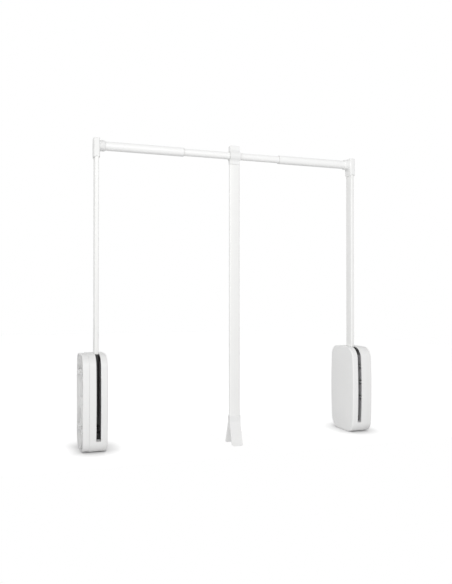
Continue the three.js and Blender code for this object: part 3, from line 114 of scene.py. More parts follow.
level.inputs["From Max"].default_value = ROOM_LIGHT_CHANGE
level.inputs["To Min"].default_value = ROOM_LIGHT_BELOW
level.inputs["To Max"].default_value = ROOM_LIGHT_ABOVE
links.new(height.outputs["Z"], level.inputs["Value"])
links.new(level.outputs["Result"], given.inputs["Strength"])
given.inputs["Color"].default_value = (1, 1, 1, 1)
choice = nodes.new("ShaderNodeMixShader")
links.new(either.outputs[0], choice.inputs[0])
links.new(given.outputs[0], choice.inputs[1])
links.new(shown.outputs[0], choice.inputs[2])
links.new(choice.outputs[0], nodes.new("ShaderNodeOutputWorld").inputs["Surface"])

lamp = bpy.data.objects.new("soft_lamp", bpy.data.lights.new("soft_lamp", "AREA"))
lamp.data.shape = "SQUARE"
lamp.data.size = LAMP_SIZE
lamp.data.energy = LAMP_POWER
lamp.location = LAMP_PLACE
lamp.rotation_euler = (LAMP_TARGET - LAMP_PLACE).to_track_quat("-Z", "Y").to_euler()
bpy.context.scene.collection.objects.link(lamp)

side_lamp = bpy.data.objects.new("side_lamp", bpy.data.lights.new("side_lamp", "SUN"))
side_lamp.data.angle = SIDE_LAMP_SPREAD
side_lamp.data.energy = SIDE_LAMP_POWER
side_lamp.rotation_euler = SIDE_LAMP_WAY.to_track_quat("-Z", "Y").to_euler()
bpy.context.scene.collection.objects.link(side_lamp)


# Floor. A plain white sheet under the two wall boxes. It stops short of the way of the arms, and
# is cut away where the grip hangs lower than the boxes. Its own glow makes it as white as the
# room to the camera. It still takes the boxes' shadows, and the glow fades right beside them as a
# painted contact shadow.
FLOOR_GAP = 0.4 * MM
FLOOR_REACH = 3.0
FLOOR_FRONT = 0.20
FLOOR_COLOUR = (0.8, 0.8, 0.8, 1)
NOTCH_HALF = 0.06
NOTCH_REAR = 0.09
FLOOR_GLOW = 0.57
PAINTED_SHADOW_REACH = 0.06
PAINTED_SHADOW_DEPTH = 2.0

boxes_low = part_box("left_cover")[0]
grip_low, grip_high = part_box("grip")
grip_x = (grip_low.x + grip_high.x) / 2
bm = bmesh.new()
bmesh.ops.create_grid(bm, x_segments=1, y_segments=1, size=FLOOR_REACH)
bmesh.ops.translate(bm, verts=bm.verts,
                    vec=(grip_x, FLOOR_REACH - FLOOR_FRONT, boxes_low.z - FLOOR_GAP))
for place, way in (((grip_x - NOTCH_HALF, 0, 0), (1, 0, 0)), ((grip_x + NOTCH_HALF, 0, 0), (1, 0, 0)),
                   ((0, NOTCH_REAR, 0), (0, 1, 0))):
    bmesh.ops.bisect_plane(bm, geom=bm.verts[:] + bm.edges[:] + bm.faces[:], plane_co=place,
                           plane_no=way)
notch = [f for f in bm.faces if abs(f.calc_center_median().x - grip_x) < NOTCH_HALF
         and f.calc_center_median().y < NOTCH_REAR]
bmesh.ops.delete(bm, geom=notch, context="FACES")
floor_mesh = bpy.data.meshes.new("floor")
bm.to_mesh(floor_mesh)
bm.free()
floor = bpy.data.objects.new("floor", floor_mesh)
bpy.context.scene.collection.objects.link(floor)

floor_paint = bpy.data.materials.new("floor_white")
floor_paint.use_nodes = True
nodes, links = floor_paint.node_tree.nodes, floor_paint.node_tree.links
nodes.clear()
matt = nodes.new("ShaderNodeBsdfDiffuse")
matt.inputs["Color"].default_value = FLOOR_COLOUR
glow = nodes.new("ShaderNodeEmission")
seen = nodes.new("ShaderNodeLightPath")
strength = nodes.new("ShaderNodeMath")
strength.operation = "MULTIPLY"
strength.inputs[1].default_value = FLOOR_GLOW
links.new(seen.outputs["Is Camera Ray"], strength.inputs[0])
# Painted contact shadow: ambient occlusion dims the floor's glow close to the boxes.
open_sky = nodes.new("ShaderNodeAmbientOcclusion")
open_sky.inputs["Distance"].default_value = PAINTED_SHADOW_REACH
deep = nodes.new("ShaderNodeMath")
deep.operation = "POWER"
deep.inputs[1].default_value = PAINTED_SHADOW_DEPTH
links.new(open_sky.outputs["AO"], deep.inputs[0])
left_over = nodes.new("ShaderNodeMath")
left_over.operation = "MULTIPLY"
links.new(strength.outputs[0], left_over.inputs[0])
links.new(deep.outputs[0], left_over.inputs[1])
links.new(left_over.outputs[0], glow.inputs["Strength"])
both = nodes.new("ShaderNodeAddShader")
links.new(matt.outputs[0], both.inputs[0])
links.new(glow.outputs[0], both.inputs[1])
links.new(both.outputs[0], nodes.new("ShaderNodeOutputMaterial").inputs["Surface"])
floor.data.materials.append(floor_paint)


# Arms. Each is a flat oval steel tube, rolled and welded, with a smooth white powder coat. Its
# foot slides over the hub's tongue in the box, and its top stands in the corner connector.
PAINT_COLOUR = (0.90, 0.90, 0.89, 1)
PAINT_ROUGHNESS = 0.32
ARM_ROUND = 2.4 * MM
ARM_WALL = 1.2 * MM
CORNER_STEPS = 8
SHARP_ANGLE = math.radians(32)
FINE_DETAIL = 3
MOTTLE_SCALE = 14
MOTTLE_DETAIL = 2
GLOSS_SPREAD = 0.15


def finish_material(name, colour, roughness, metallic=0.0, grain=900.0, bump=0.05, depth=0.1 * MM,
                    mottle=0.02):
    """A principled material: colour mottled by slow noise, roughness and bump from fine grain."""
    material = bpy.data.materials.new(name)
    material.use_nodes = True
    nodes, links = material.node_tree.nodes, material.node_tree.links
    surface = nodes["Principled BSDF"]
    surface.inputs["Metallic"].default_value = metallic
    place = nodes.new("ShaderNodeTexCoord")
    fine = nodes.new("ShaderNodeTexNoise")
    fine.inputs["Scale"].default_value = grain
    fine.inputs["Detail"].default_value = FINE_DETAIL
    links.new(place.outputs["Object"], fine.inputs["Vector"])
    slow = nodes.new("ShaderNodeTexNoise")
    slow.inputs["Scale"].default_value = MOTTLE_SCALE
    slow.inputs["Detail"].default_value = MOTTLE_DETAIL
    links.new(place.outputs["Object"], slow.inputs["Vector"])
    shade = nodes.new("ShaderNodeMixRGB")
    shade.inputs["Color1"].default_value = tuple(c * (1 - mottle) for c in colour[:3]) + (1,)
    shade.inputs["Color2"].default_value = tuple(min(c * (1 + mottle), 1) for c in colour[:3]) + (1,)
    links.new(slow.outputs["Fac"], shade.inputs["Fac"])
    links.new(shade.outputs["Color"], surface.inputs["Base Color"])
    gloss = nodes.new("ShaderNodeMapRange")
    gloss.inputs["To Min"].default_value = roughness * (1 - GLOSS_SPREAD)
    gloss.inputs["To Max"].default_value = roughness * (1 + GLOSS_SPREAD)
    links.new(fine.outputs["Fac"], gloss.inputs["Value"])
    links.new(gloss.outputs["Result"], surface.inputs["Roughness"])
    raised = nodes.new("ShaderNodeBump")
    raised.inputs["Strength"].default_value = bump
    raised.inputs["Distance"].default_value = depth
    links.new(fine.outputs["Fac"], raised.inputs["Height"])
    links.new(raised.outputs["Normal"], surface.inputs["Normal"])
    return material


def finished(bm, name, material, body, slot, *nodes_replaced):
    """Makes a bmesh an object of the scene that stands for CAD nodes. It rides on a body, if one is
    given."""
    mesh = bpy.data.meshes.new(name)
    bm.to_mesh(mesh)
    bm.free()
    mesh.polygons.foreach_set("use_smooth", [True] * len(mesh.polygons))
    mesh.set_sharp_from_angle(angle=SHARP_ANGLE)
    mesh.materials.append(material)
    piece = bpy.data.objects.new(name, mesh)
    bpy.context.scene.collection.objects.link(piece)
    if body:
        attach(piece, body)
    if nodes_replaced:
        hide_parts(*nodes_replaced)
    return piece


def both_ends(bm):
    """A piece drawn for the left end, and its mirror image for the right end."""
    mirrored = bm.copy()
    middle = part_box("right_cover")[1].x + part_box("left_cover")[0].x
    bmesh.ops.scale(mirrored, vec=(-1, 1, 1), verts=mirrored.verts)
    bmesh.ops.translate(mirrored, vec=(middle, 0, 0), verts=mirrored.verts)
    bmesh.ops.reverse_faces(mirrored, faces=mirrored.faces)
    return ("left", bm), ("right", mirrored)


def flat_tube(low, high, corner, wall):
    """An upright flat oval tube between two corners of a box, open at both ends."""
    bm = bmesh.new()
    bmesh.ops.create_cube(bm, size=1)
    bmesh.ops.scale(bm, vec=high - low, verts=bm.verts)
    bmesh.ops.translate(bm, vec=(low + high) / 2, verts=bm.verts)
    ends = [f for f in bm.faces if abs(f.normal.z) > 0.5]
    bmesh.ops.delete(bm, geom=ends, context="FACES_ONLY")
    upright = [e for e in bm.edges if len(e.link_faces) == 2]
    bmesh.ops.bevel(bm, geom=upright, offset=corner, segments=CORNER_STEPS, profile=0.5,
                    affect="EDGES", material=-1)
    bmesh.ops.solidify(bm, geom=bm.faces, thickness=wall)
    return bm


white_steel = finish_material("white_powder_coat", PAINT_COLOUR, PAINT_ROUGHNESS, grain=700,
                              bump=0.08)
for side in ("left", "right"):
    low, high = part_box(f"{side}_arm_tube")
    finished(flat_tube(low, high, ARM_ROUND, ARM_WALL), f"{side}_arm", white_steel, f"{side}_arm",
             "white_steel", f"{side}_arm_tube")


# Wall boxes. Each cover is one bowed white moulding with a slot from its front over the top, in
# which the arm swings down. A sill runs back from the slot's foot and carries the rubber stop.
PLASTIC_COLOUR = (0.885, 0.885, 0.88, 1)
PLASTIC_ROUGHNESS = 0.45
SIDE_BOW = 6 * MM
END_BOW = 2.5 * MM
SMALL_CORNER = 24 * MM
LARGE_CORNER = 32 * MM
OUTLINE_STEPS = 12
OUTLINE_CUTS = 15
SHELL_WALL = 2.4 * MM
EDGE_ROUND = 2.5 * MM
EDGE_STEPS = 5
FACE_DOME = 1.5 * MM
FACE_SHARES = (0.12, 0.3, 0.5, 0.7)
SLOT_HALF = 6.2 * MM
SLOT_ABOVE_BASE = 31 * MM
SLOT_BEHIND_ARM = 3 * MM
CHANNEL_ROOM = 7.2 * MM
SILL_FRONT_SHARE = 0.93
SILL_RAMP = 3.2 * MM
CLEARANCE = 0.3 * MM
RIM_ROUND = 0.4 * MM
RIM_STEPS = 2
RIM_ANGLE = math.radians(50)
SLIVER = 0.01 * MM
SAME_PLACE = 0.001 * MM


def box_outline(x):
    """The boxes' outline in the plane x: its four sides bow out, and its top front corner and its
    bottom rear one are the rounder ones."""
    half_y, half_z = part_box("left_cover")[1].yz - Vector((SIDE_BOW, END_BOW))
    bm = bmesh.new()
    bmesh.ops.create_grid(bm, x_segments=1, y_segments=1, size=1)
    bmesh.ops.scale(bm, vec=(half_y, half_z, 1), verts=bm.verts)
    for corner in bm.verts[:]:
        rounding = LARGE_CORNER if corner.co.x * corner.co.y < 0 else SMALL_CORNER
        bmesh.ops.bevel(bm, geom=[corner], offset=rounding, segments=OUTLINE_STEPS, profile=0.5,
                        affect="VERTICES", material=-1)
    straight = sorted(bm.edges, key=lambda e: e.calc_length())[-4:]
    bmesh.ops.subdivide_edges(bm, edges=straight, cuts=OUTLINE_CUTS)
    for v in bm.verts:
        y, z = v.co.x, v.co.y
        v.co = (x, y + math.copysign(SIDE_BOW * (1 - (z / half_z) ** 2), y),
                z + math.copysign(END_BOW * (1 - (y / half_y) ** 2), z))
    bm.normal_update()
    return bm


def raised(bm, face, x, inset, last_inset):
    """Carries a face of the box's outline out to x and draws it in, and gives the new face."""
    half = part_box("left_cover")[1]
    face = bmesh.ops.extrude_discrete_faces(bm, faces=[face])["faces"][0]
    bmesh.ops.scale(bm, vec=(1, (half.y - inset) / (half.y - last_inset),
                             (half.z - inset) / (half.z - last_inset)), verts=face.verts[:])
    bmesh.ops.translate(bm, vec=(x - face.verts[0].co.x, 0, 0), verts=face.verts[:])
    return face


def dome_at(inset):
    """How far the cover's face has risen this far in from the outline."""
    return FACE_DOME * (1 - (1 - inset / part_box("left_cover")[1].y) ** 2)


def pulled(corners, start, end, axis="X", segments=CORNER_STEPS):
    """A flat outline of (u, v, rounding) corners pulled along an axis into a closed body."""
    place = {"X": lambda u, v: (start, u, v), "Y": lambda u, v: (u, start, v),
             "Z": lambda u, v: (u, v, start)}[axis]
    bm = bmesh.new()
    points = [bm.verts.new(place(u, v)) for u, v, rounding in corners]
    face = bm.faces.new(points)
    for point, (u, v, rounding) in zip(points, corners):
        if rounding:
            bmesh.ops.bevel(bm, geom=[point], offset=rounding, segments=segments, profile=0.5,
                            affect="VERTICES", material=-1)
    bm.faces.ensure_lookup_table()
    moved = bmesh.ops.extrude_face_region(bm, geom=bm.faces[:])["geom"]
    step = Vector([end - start if axis == name else 0 for name in "XYZ"])
    bmesh.ops.translate(bm, vec=step, verts=[g for g in moved if isinstance(g, bmesh.types.BMVert)])
    bmesh.ops.recalc_face_normals(bm, faces=bm.faces)
    return bm


def solved(bm, other, operation):
    """Joins two closed bodies, or takes the second away from the first or keeps what they share."""
    made = []
    for number, part in enumerate((bm, other)):
        mesh = bpy.data.meshes.new(f"step_{number}")
        part.to_mesh(mesh)
        part.free()
        made.append(bpy.data.objects.new(f"step_{number}", mesh))
        bpy.context.scene.collection.objects.link(made[-1])
    step = made[0].modifiers.new("step", "BOOLEAN")
    step.operation = operation
    step.solver = "EXACT"
    step.object = made[1]
    graph = bpy.context.evaluated_depsgraph_get()
    result = bmesh.new()
    result.from_mesh(made[0].evaluated_get(graph).to_mesh())
    for part in made:
        mesh = part.data
        bpy.data.objects.remove(part)
        bpy.data.meshes.remove(mesh)
    bmesh.ops.remove_doubles(result, verts=result.verts, dist=SAME_PLACE)
    return result


def rectangle(low_u, high_u, low_v, high_v, *roundings):
    """Corners of a rectangle, each rounded: low left, low right, high right, high left."""
    places = ((low_u, low_v), (high_u, low_v), (high_u, high_v), (low_u, high_v))
    return [(u, v, rounding) for (u, v), rounding in zip(places, roundings)]


def cover():
    """The left cover, with its open side to the wall and its slot cut."""
    low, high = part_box("left_cover")
    arm_low, arm_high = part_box("left_arm_tube")
    edge_x = high.x - EDGE_ROUND - dome_at(FACE_SHARES[-1] * high.y)
    bm = box_outline(low.x)
    bm.faces.ensure_lookup_table()
    face = raised(bm, bm.faces[0], edge_x, 0, 0)
    turns = [step / EDGE_STEPS * math.pi / 2 for step in range(1, EDGE_STEPS + 1)]
    rings = [(EDGE_ROUND * math.sin(a), EDGE_ROUND * (1 - math.cos(a))) for a in turns]
    rings += [(EDGE_ROUND, share * high.y) for share in FACE_SHARES]
    last = 0
    for rise, inset in rings:
        face = raised(bm, face, edge_x + rise + dome_at(inset), inset, last)
        last = inset
    slot_x = (arm_low.x + arm_high.x) / 2
    slot_low = low.z + SLOT_ABOVE_BASE
    slot_rear = arm_high.y + SLOT_BEHIND_ARM
    for place, way in (((slot_x - SLOT_HALF, 0, 0), (1, 0, 0)), ((slot_x + SLOT_HALF, 0, 0), (1, 0, 0)),
                       ((0, 0, slot_low), (0, 0, 1)), ((0, slot_rear, 0), (0, 1, 0))):
        across = [f for f in bm.faces if way[0] or abs(f.calc_center_median().x - slot_x) < SLOT_HALF]
        parts = {g for f in across for g in (*f.verts, *f.edges, f)}
        bmesh.ops.bisect_plane(bm, geom=list(parts), plane_co=place, plane_no=way)
    slot = [f for f in bm.faces if abs(f.calc_center_median().x - slot_x) < SLOT_HALF
            and f.calc_center_median().z > slot_low and f.calc_center_median().y < slot_rear]
    bmesh.ops.delete(bm, geom=slot, context="FACES")
    bmesh.ops.recalc_face_normals(bm, faces=bm.faces)
    bmesh.ops.solidify(bm, geom=bm.faces, thickness=SHELL_WALL)
    stop_low, stop_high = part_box("left_down_stop")
    sill_front, sill_top = low.y * SILL_FRONT_SHARE, slot_low - CLEARANCE
    sill = pulled([(sill_front, sill_top - SHELL_WALL, 0), (stop_high.y, sill_top - SHELL_WALL, 0),
                   (stop_high.y, sill_top, 0), (stop_low.y - CLEARANCE, sill_top, 0),
                   (stop_low.y - CLEARANCE, sill_top + SILL_RAMP, 0), (sill_front, sill_top, 0)],
                  slot_x - CHANNEL_ROOM, slot_x + CHANNEL_ROOM)
    return solved(bm, sill, "UNION")


def soft_edges(piece):
    """Rounds a piece's sharp edges slightly, as moulding leaves them, and closes up the slivers
    that the rounding leaves."""
    edges = piece.modifiers.new("soft_edges", "BEVEL")
    edges.width = RIM_ROUND
    edges.segments = RIM_STEPS
    edges.limit_method = "ANGLE"
    edges.angle_limit = RIM_ANGLE
    slivers = piece.modifiers.new("slivers", "WELD")
    slivers.merge_threshold = SLIVER


white_plastic = finish_material("white_moulding", PLASTIC_COLOUR, PLASTIC_ROUGHNESS, grain=1600,
                                bump=0.12)
for side, bm in both_ends(cover()):
    soft_edges(finished(bm, f"{side}_box_cover", white_plastic, f"{side}_box", "white_plastic",
                        f"{side}_cover"))


# Base shells. Each is a shallow white tray a little smaller than its cover, with its open side to
# the wardrobe's panel, so the crossed ribs, the disc and the bosses show from behind. Four screws
# through the cross ribs' bosses hold it to the panel.
BASE_SET_IN = 1.2 * MM
BASE_FLOOR = 2.4 * MM
BASE_WALL = 2.6 * MM
BASE_RIM = 1 * MM
BASE_RIM_STEPS = 4
RIB_BELOW_RIM = 0.3 * MM
OVERRUN = 1 * MM
RIB = 2.2 * MM
DISC_RADIUS = 18 * MM
LOWER_RIB = 56 * MM
UPPER_RIB = 54 * MM
WALL_SCREW_HALF = 35 * MM
WALL_SCREW_HOLE = 2.4 * MM
WALL_SCREW_SINK = 2.2 * MM
WALL_SCREW_BOSS = 7 * MM
AXLE_BOSS = 11 * MM
POST_RADIUS = 4 * MM
POST_INSET = 9 * MM
FRONT_POST_INSET = 20 * MM
TURN_STEPS = 64
ROD_STEPS = 32


def turned(profile, y, z, segments=TURN_STEPS, closed=True):
    """A profile of (x, radius) points spun about the line along X through y and z."""
    bm = bmesh.new()
    points = [bm.verts.new((x, y + radius, z)) for x, radius in profile]
    pairs = list(zip(points, points[1:]))
    if closed:
        pairs.append((points[-1], points[0]))
    ring = [bm.edges.new(pair) for pair in pairs]
    bmesh.ops.spin(bm, geom=points + ring, axis=(1, 0, 0), cent=(0, y, z), steps=segments,
                   angle=2 * math.pi, use_merge=True)
    bmesh.ops.remove_doubles(bm, verts=bm.verts, dist=SAME_PLACE)
    bmesh.ops.recalc_face_normals(bm, faces=bm.faces)
    return bm


def tray(start, end, inset):
    """The boxes' outline, drawn in by an inset, as a closed body between two planes."""
    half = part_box("left_cover")[1]
    bm = box_outline(start)
    bmesh.ops.scale(bm, vec=(1, (half.y - inset) / half.y, (half.z - inset) / half.z), verts=bm.verts)
    moved = bmesh.ops.extrude_face_region(bm, geom=bm.faces[:])["geom"]
    bmesh.ops.translate(bm, vec=(end - start, 0, 0),
                        verts=[g for g in moved if isinstance(g, bmesh.types.BMVert)])
    bmesh.ops.recalc_face_normals(bm, faces=bm.faces)
    return bm


def rib(start, end, depth):
    """A straight rib between two places given by Y and Z, from the wall face to a depth."""
    side = (Vector(end) - Vector(start)).orthogonal().normalized() * RIB / 2
    corners = [Vector(start) + side, Vector(start) - side, Vector(end) - side, Vector(end) + side]
    return pulled([(*corner, 0) for corner in corners], -OVERRUN, depth + OVERRUN)


def rod(start, end, radius, y, z):
    """A round rod along X."""
    return turned([(start, 0), (start, radius), (end, radius), (end, 0)], y, z, ROD_STEPS,
                  closed=False)


def together(parts):
    """Bodies that don't touch each other, gathered in one mesh."""
    for part in parts[1:]:
        mesh = bpy.data.meshes.new("step")
        part.to_mesh(mesh)
        part.free()
        parts[0].from_mesh(mesh)
        bpy.data.meshes.remove(mesh)
    return parts[0]


def base_shell():
    """The left base shell, seen open from the wall side."""
    low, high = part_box("left_cover")
    depth = low.x - CLEARANCE
    floor_x = depth - BASE_FLOOR
    upper, lower = high.z - UPPER_RIB, low.z + LOWER_RIB
    screws = [(y, z) for y in (-WALL_SCREW_HALF, WALL_SCREW_HALF) for z in (upper, lower)]
    axle_low, axle_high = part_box("left_axle")
    axle_y, axle_z = ((axle_low + axle_high) / 2).yz
    ribs = together([rib((2 * low.y, z), (2 * high.y, z), depth) for z in (upper, lower)])
    for y in (low.y, high.y):
        for z, level in ((0, upper), (0, lower), (high.z, upper), (low.z, lower)):
            start, end = Vector((0, z)), Vector((y, level))
            ribs = solved(ribs, rib(start, end + (end - start), depth), "UNION")
    bosses = [rod(-OVERRUN, depth + OVERRUN, WALL_SCREW_BOSS, y, z) for y, z in screws]
    ribs = solved(ribs, together(bosses), "UNION")
    ribs = solved(ribs, rod(-OVERRUN, depth + OVERRUN, DISC_RADIUS, 0, 0), "UNION")
    ribs = solved(ribs, rod(-OVERRUN, depth + OVERRUN, AXLE_BOSS, axle_y, axle_z), "UNION")
    room = tray(RIB_BELOW_RIM, floor_x + BASE_FLOOR / 2, BASE_SET_IN + BASE_WALL / 2)
    ribs = solved(ribs, room, "INTERSECT")
    shell = tray(0, depth, BASE_SET_IN)
    rim = [e for e in shell.edges if max(v.co.x for v in e.verts) < CLEARANCE]
    bmesh.ops.bevel(shell, geom=rim, offset=BASE_RIM, segments=BASE_RIM_STEPS, profile=0.5,
                    affect="EDGES", material=-1)
    shell = solved(shell, tray(-depth, floor_x, BASE_SET_IN + BASE_WALL), "DIFFERENCE")
    shell = solved(shell, ribs, "UNION")
    channel_low, channel_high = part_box("left_channel")
    spring_low, spring_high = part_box("left_lift_spring")
    posts = [(y, z) for y in (channel_low.y + FRONT_POST_INSET, channel_high.y - POST_INSET)
             for z in (channel_low.z + POST_INSET, channel_high.z - POST_INSET)]
    posts.append((spring_high.y + CLEARANCE + POST_RADIUS, spring_low.z + POST_RADIUS))
    posts = [rod(floor_x, channel_low.x - CLEARANCE, POST_RADIUS, y, z) for y, z in posts]
    shell = solved(shell, together(posts), "UNION")
    sink_x, sink = depth - WALL_SCREW_SINK, WALL_SCREW_HOLE + WALL_SCREW_SINK
    holes = [turned([(-depth, 0), (-depth, WALL_SCREW_HOLE), (sink_x, WALL_SCREW_HOLE), (depth, sink),
                     (2 * depth, sink), (2 * depth, 0)], y, z, ROD_STEPS, closed=False)
             for y, z in screws]
    axle_radius = (axle_high.z - axle_low.z) / 2
    holes.append(rod(axle_low.x - CLEARANCE, 2 * depth, axle_radius + CLEARANCE, axle_y, axle_z))
    return solved(shell, together(holes), "DIFFERENCE")


for side, bm in both_ends(base_shell()):
    finished(bm, f"{side}_box_base", white_plastic, f"{side}_box", "white_plastic",
             f"{side}_base_shell")


# Channels. Each is a strip of zinc-plated steel bent to a U, which stands in its box and flanks the
# arm. Beads are pressed into both cheeks and slots punched beside them, and the axle runs through.
ZINC_COLOUR = (0.58, 0.58, 0.59, 1)
CHEEK = 2 * MM
CHEEK_BEND = 3.5 * MM
CHANNEL_CORNER = 22 * MM
CHANNEL_REAR_CORNER = 5 * MM
COVER_GAP = 0.8 * MM
CHANNEL_FORWARD = 3 * MM
BEAD_COUNT = 3
BEAD_SPACING = 47 * MM
LOWEST_BEAD = 82 * MM
BEAD_BEHIND_EDGE = 2.6 * MM
BEAD_LENGTH = 26 * MM
BEAD_HALF = 2.5 * MM
BEAD_RISE = 1 * MM
BEAD_EDGE = 0.8 * MM
BEAD_EDGE_STEPS = 3
PUNCHED_HALF = 1.9 * MM
PUNCHED_FROM_BEAD = 4.8 * MM
PUNCHED_BEHIND_EDGE = 1.6 * MM
SLEEVE_HOLE = 12.6 * MM
AXLE_HOLE = 5.3 * MM


def channel():
    """The left channel, open to the front."""
    low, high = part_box("left_channel")
    ends = (low.x - CHEEK, high.x + CHEEK)
    edge = low.y - CHANNEL_FORWARD
    outline = pulled(rectangle(edge, high.y, low.z, high.z, CHANNEL_CORNER, CHANNEL_REAR_CORNER,
                               CHANNEL_REAR_CORNER, CHANNEL_CORNER), *ends)
    outline = solved(outline, tray(*ends, SHELL_WALL + COVER_GAP), "INTERSECT")
    front, web = edge - CHEEK, high.y - CHEEK
    strip = pulled([(low.x, front, 0), (low.x + CHEEK, front, 0),
                    (low.x + CHEEK, web, CHEEK_BEND - CHEEK), (high.x - CHEEK, web, CHEEK_BEND - CHEEK),
                    (high.x - CHEEK, front, 0), (high.x, front, 0), (high.x, high.y, CHEEK_BEND),
                    (low.x, high.y, CHEEK_BEND)], low.z - CHEEK, high.z + CHEEK, "Z")
    body = solved(strip, outline, "INTERSECT")
    beads, holes = [], []
    for number in range(BEAD_COUNT):
        z = low.z + LOWEST_BEAD + number * BEAD_SPACING
        start = edge + BEAD_BEHIND_EDGE
        for face in (low.x + CHEEK, high.x - CHEEK):
            bead = pulled(rectangle(start, start + BEAD_LENGTH, z - BEAD_HALF, z + BEAD_HALF,
                                    *[BEAD_HALF] * 4), face - BEAD_RISE, face + BEAD_RISE)
            rims = [e for e in bead.edges if e.verts[0].co.x == e.verts[1].co.x]
            bmesh.ops.bevel(bead, geom=rims, offset=BEAD_EDGE, segments=BEAD_EDGE_STEPS, profile=0.5,
                            affect="EDGES", material=-1)
            beads.append(bead)
        start = edge + PUNCHED_BEHIND_EDGE
        for middle in (z - PUNCHED_FROM_BEAD, z + PUNCHED_FROM_BEAD):
            holes.append(pulled(rectangle(start, start + BEAD_LENGTH, middle - PUNCHED_HALF,
                                          middle + PUNCHED_HALF, *[PUNCHED_HALF] * 4), *ends))
    body = solved(body, together(beads), "UNION")
    axle_low, axle_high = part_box("left_axle")
    axle_y, axle_z = ((axle_low + axle_high) / 2).yz
    holes.append(turned([(ends[0], 0), (ends[0], SLEEVE_HOLE), (low.x + 2 * CHEEK, SLEEVE_HOLE),
                         (low.x + 2 * CHEEK, AXLE_HOLE), (ends[1], AXLE_HOLE), (ends[1], 0)],
                        axle_y, axle_z, closed=False))
    return solved(body, together(holes), "DIFFERENCE")


zinc = finish_material("zinc_plate", ZINC_COLOUR, 0.5, metallic=0.1, grain=420, mottle=0.12)
for side, bm in both_ends(channel()):
    finished(bm, f"{side}_box_channel", zinc, f"{side}_box", "zinc_steel", f"{side}_channel")


# Corner connectors. Each is a white moulding with a socket for the arm below and a ferrule for the
# crossbar on its inner side, and a screw through its back holds it to the arm.
CONNECTOR_PLAN = 3 * MM
CONNECTOR_TOP_REAR = 7 * MM
CONNECTOR_TOP_FRONT = 2.5 * MM
CONNECTOR_LOW_REAR = 8 * MM
CONNECTOR_ARCH = 2.7 * MM
CONNECTOR_FLOOR = 2.6 * MM
CONNECTOR_FACE = 3.8 * MM
BELOW_RAIL = 34.4 * MM
FERRULE_WALL = 2.2 * MM
FERRULE_EDGE = 1 * MM
ARCH_STEPS = 180


def corner_connector():
    """The left corner connector."""
    low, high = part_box("left_corner_connector")
    arm_low, arm_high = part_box("left_arm_tube")
    tube_low, tube_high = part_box("left_outer_tube")
    arm_x = (arm_low.x + arm_high.x) / 2
    half = arm_x - low.x
    bar_y, bar_z = (tube_low.y + tube_high.y) / 2, low.z + BELOW_RAIL
    tube_radius = (tube_high.z - tube_low.z) / 2
    ferrule_radius = tube_radius + CLEARANCE + FERRULE_WALL
    body = pulled(rectangle(low.y, high.y, low.z, high.z, 0, CONNECTOR_LOW_REAR, CONNECTOR_TOP_REAR,
                            CONNECTOR_TOP_FRONT), low.x, low.x + 2 * half)
    plan = pulled(rectangle(low.x, low.x + 2 * half, low.y, high.y, *[CONNECTOR_PLAN] * 4),
                  low.z - half, high.z + half, "Z")
    body = solved(body, plan, "INTERSECT")
    ferrule = turned([(arm_x, 0), (arm_x, ferrule_radius), (high.x - FERRULE_EDGE, ferrule_radius),
                      (high.x - FERRULE_EDGE / 3, ferrule_radius - FERRULE_EDGE / 3),
                      (high.x, ferrule_radius - FERRULE_EDGE), (high.x, 0)], bar_y, bar_z, closed=False)
    body = solved(body, ferrule, "UNION")
    socket = turned([(low.x + 2 * half - CONNECTOR_FACE, 0),
                     (low.x + 2 * half - CONNECTOR_FACE, tube_radius + CLEARANCE),
                     (high.x + half, tube_radius + CLEARANCE), (high.x + half, 0)], bar_y, bar_z,
                    closed=False)
    body = solved(body, socket, "DIFFERENCE")
    foot = pulled(rectangle(arm_low.x - CLEARANCE, arm_high.x + CLEARANCE, arm_low.y - CLEARANCE,
                            arm_high.y + CLEARANCE, *[ARM_ROUND + CLEARANCE] * 4),
                  low.z - half, bar_z - tube_radius - CLEARANCE - CONNECTOR_FLOOR, "Z")
    body = solved(body, foot, "DIFFERENCE")
    radius = (half * half + CONNECTOR_ARCH * CONNECTOR_ARCH) / (2 * CONNECTOR_ARCH)
    arch = turned([(low.y - half, 0), (low.y - half, radius), (high.y + half, radius),
                   (high.y + half, 0)], 0, 0, ARCH_STEPS, closed=False)
    bmesh.ops.rotate(arch, verts=arch.verts, matrix=Matrix.Rotation(math.pi / 2, 3, "Z"))
    bmesh.ops.translate(arch, verts=arch.verts, vec=(arm_x, 0, low.z + CONNECTOR_ARCH - radius))
    return solved(body, arch, "DIFFERENCE")


for side, bm in both_ends(corner_connector()):
    soft_edges(finished(bm, f"{side}_connector", white_plastic, f"{side}_arm", "white_plastic",
                        f"{side}_corner_connector"))


# Crossbar. Two outer tubes of 25 mm painted steel stand in the ferrules and slide over one inner
# tube, each with a nylon guide ring in its mouth. Their coat is the arms' white made lighter, as
# painted light for the stronger light the crossbar catches.
TUBE_WALL = 1 * MM
TUBE_EDGE = 0.25 * MM
TUBE_STEPS = 72
CROSSBAR_LIT_COLOUR = (0.95, 0.95, 0.945, 1)


def bored_tube(node, wall):
    """A round tube along X in the place of a CAD node, its end edges a little broken."""
    low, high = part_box(node)
    outer = (high.z - low.z) / 2
    inner = outer - wall
    return turned([(low.x + TUBE_EDGE, inner), (low.x, inner + TUBE_EDGE), (low.x, outer - TUBE_EDGE),
                   (low.x + TUBE_EDGE, outer), (high.x - TUBE_EDGE, outer), (high.x, outer - TUBE_EDGE),
                   (high.x, inner + TUBE_EDGE), (high.x - TUBE_EDGE, inner)],
                  (low.y + high.y) / 2, (low.z + high.z) / 2, TUBE_STEPS)


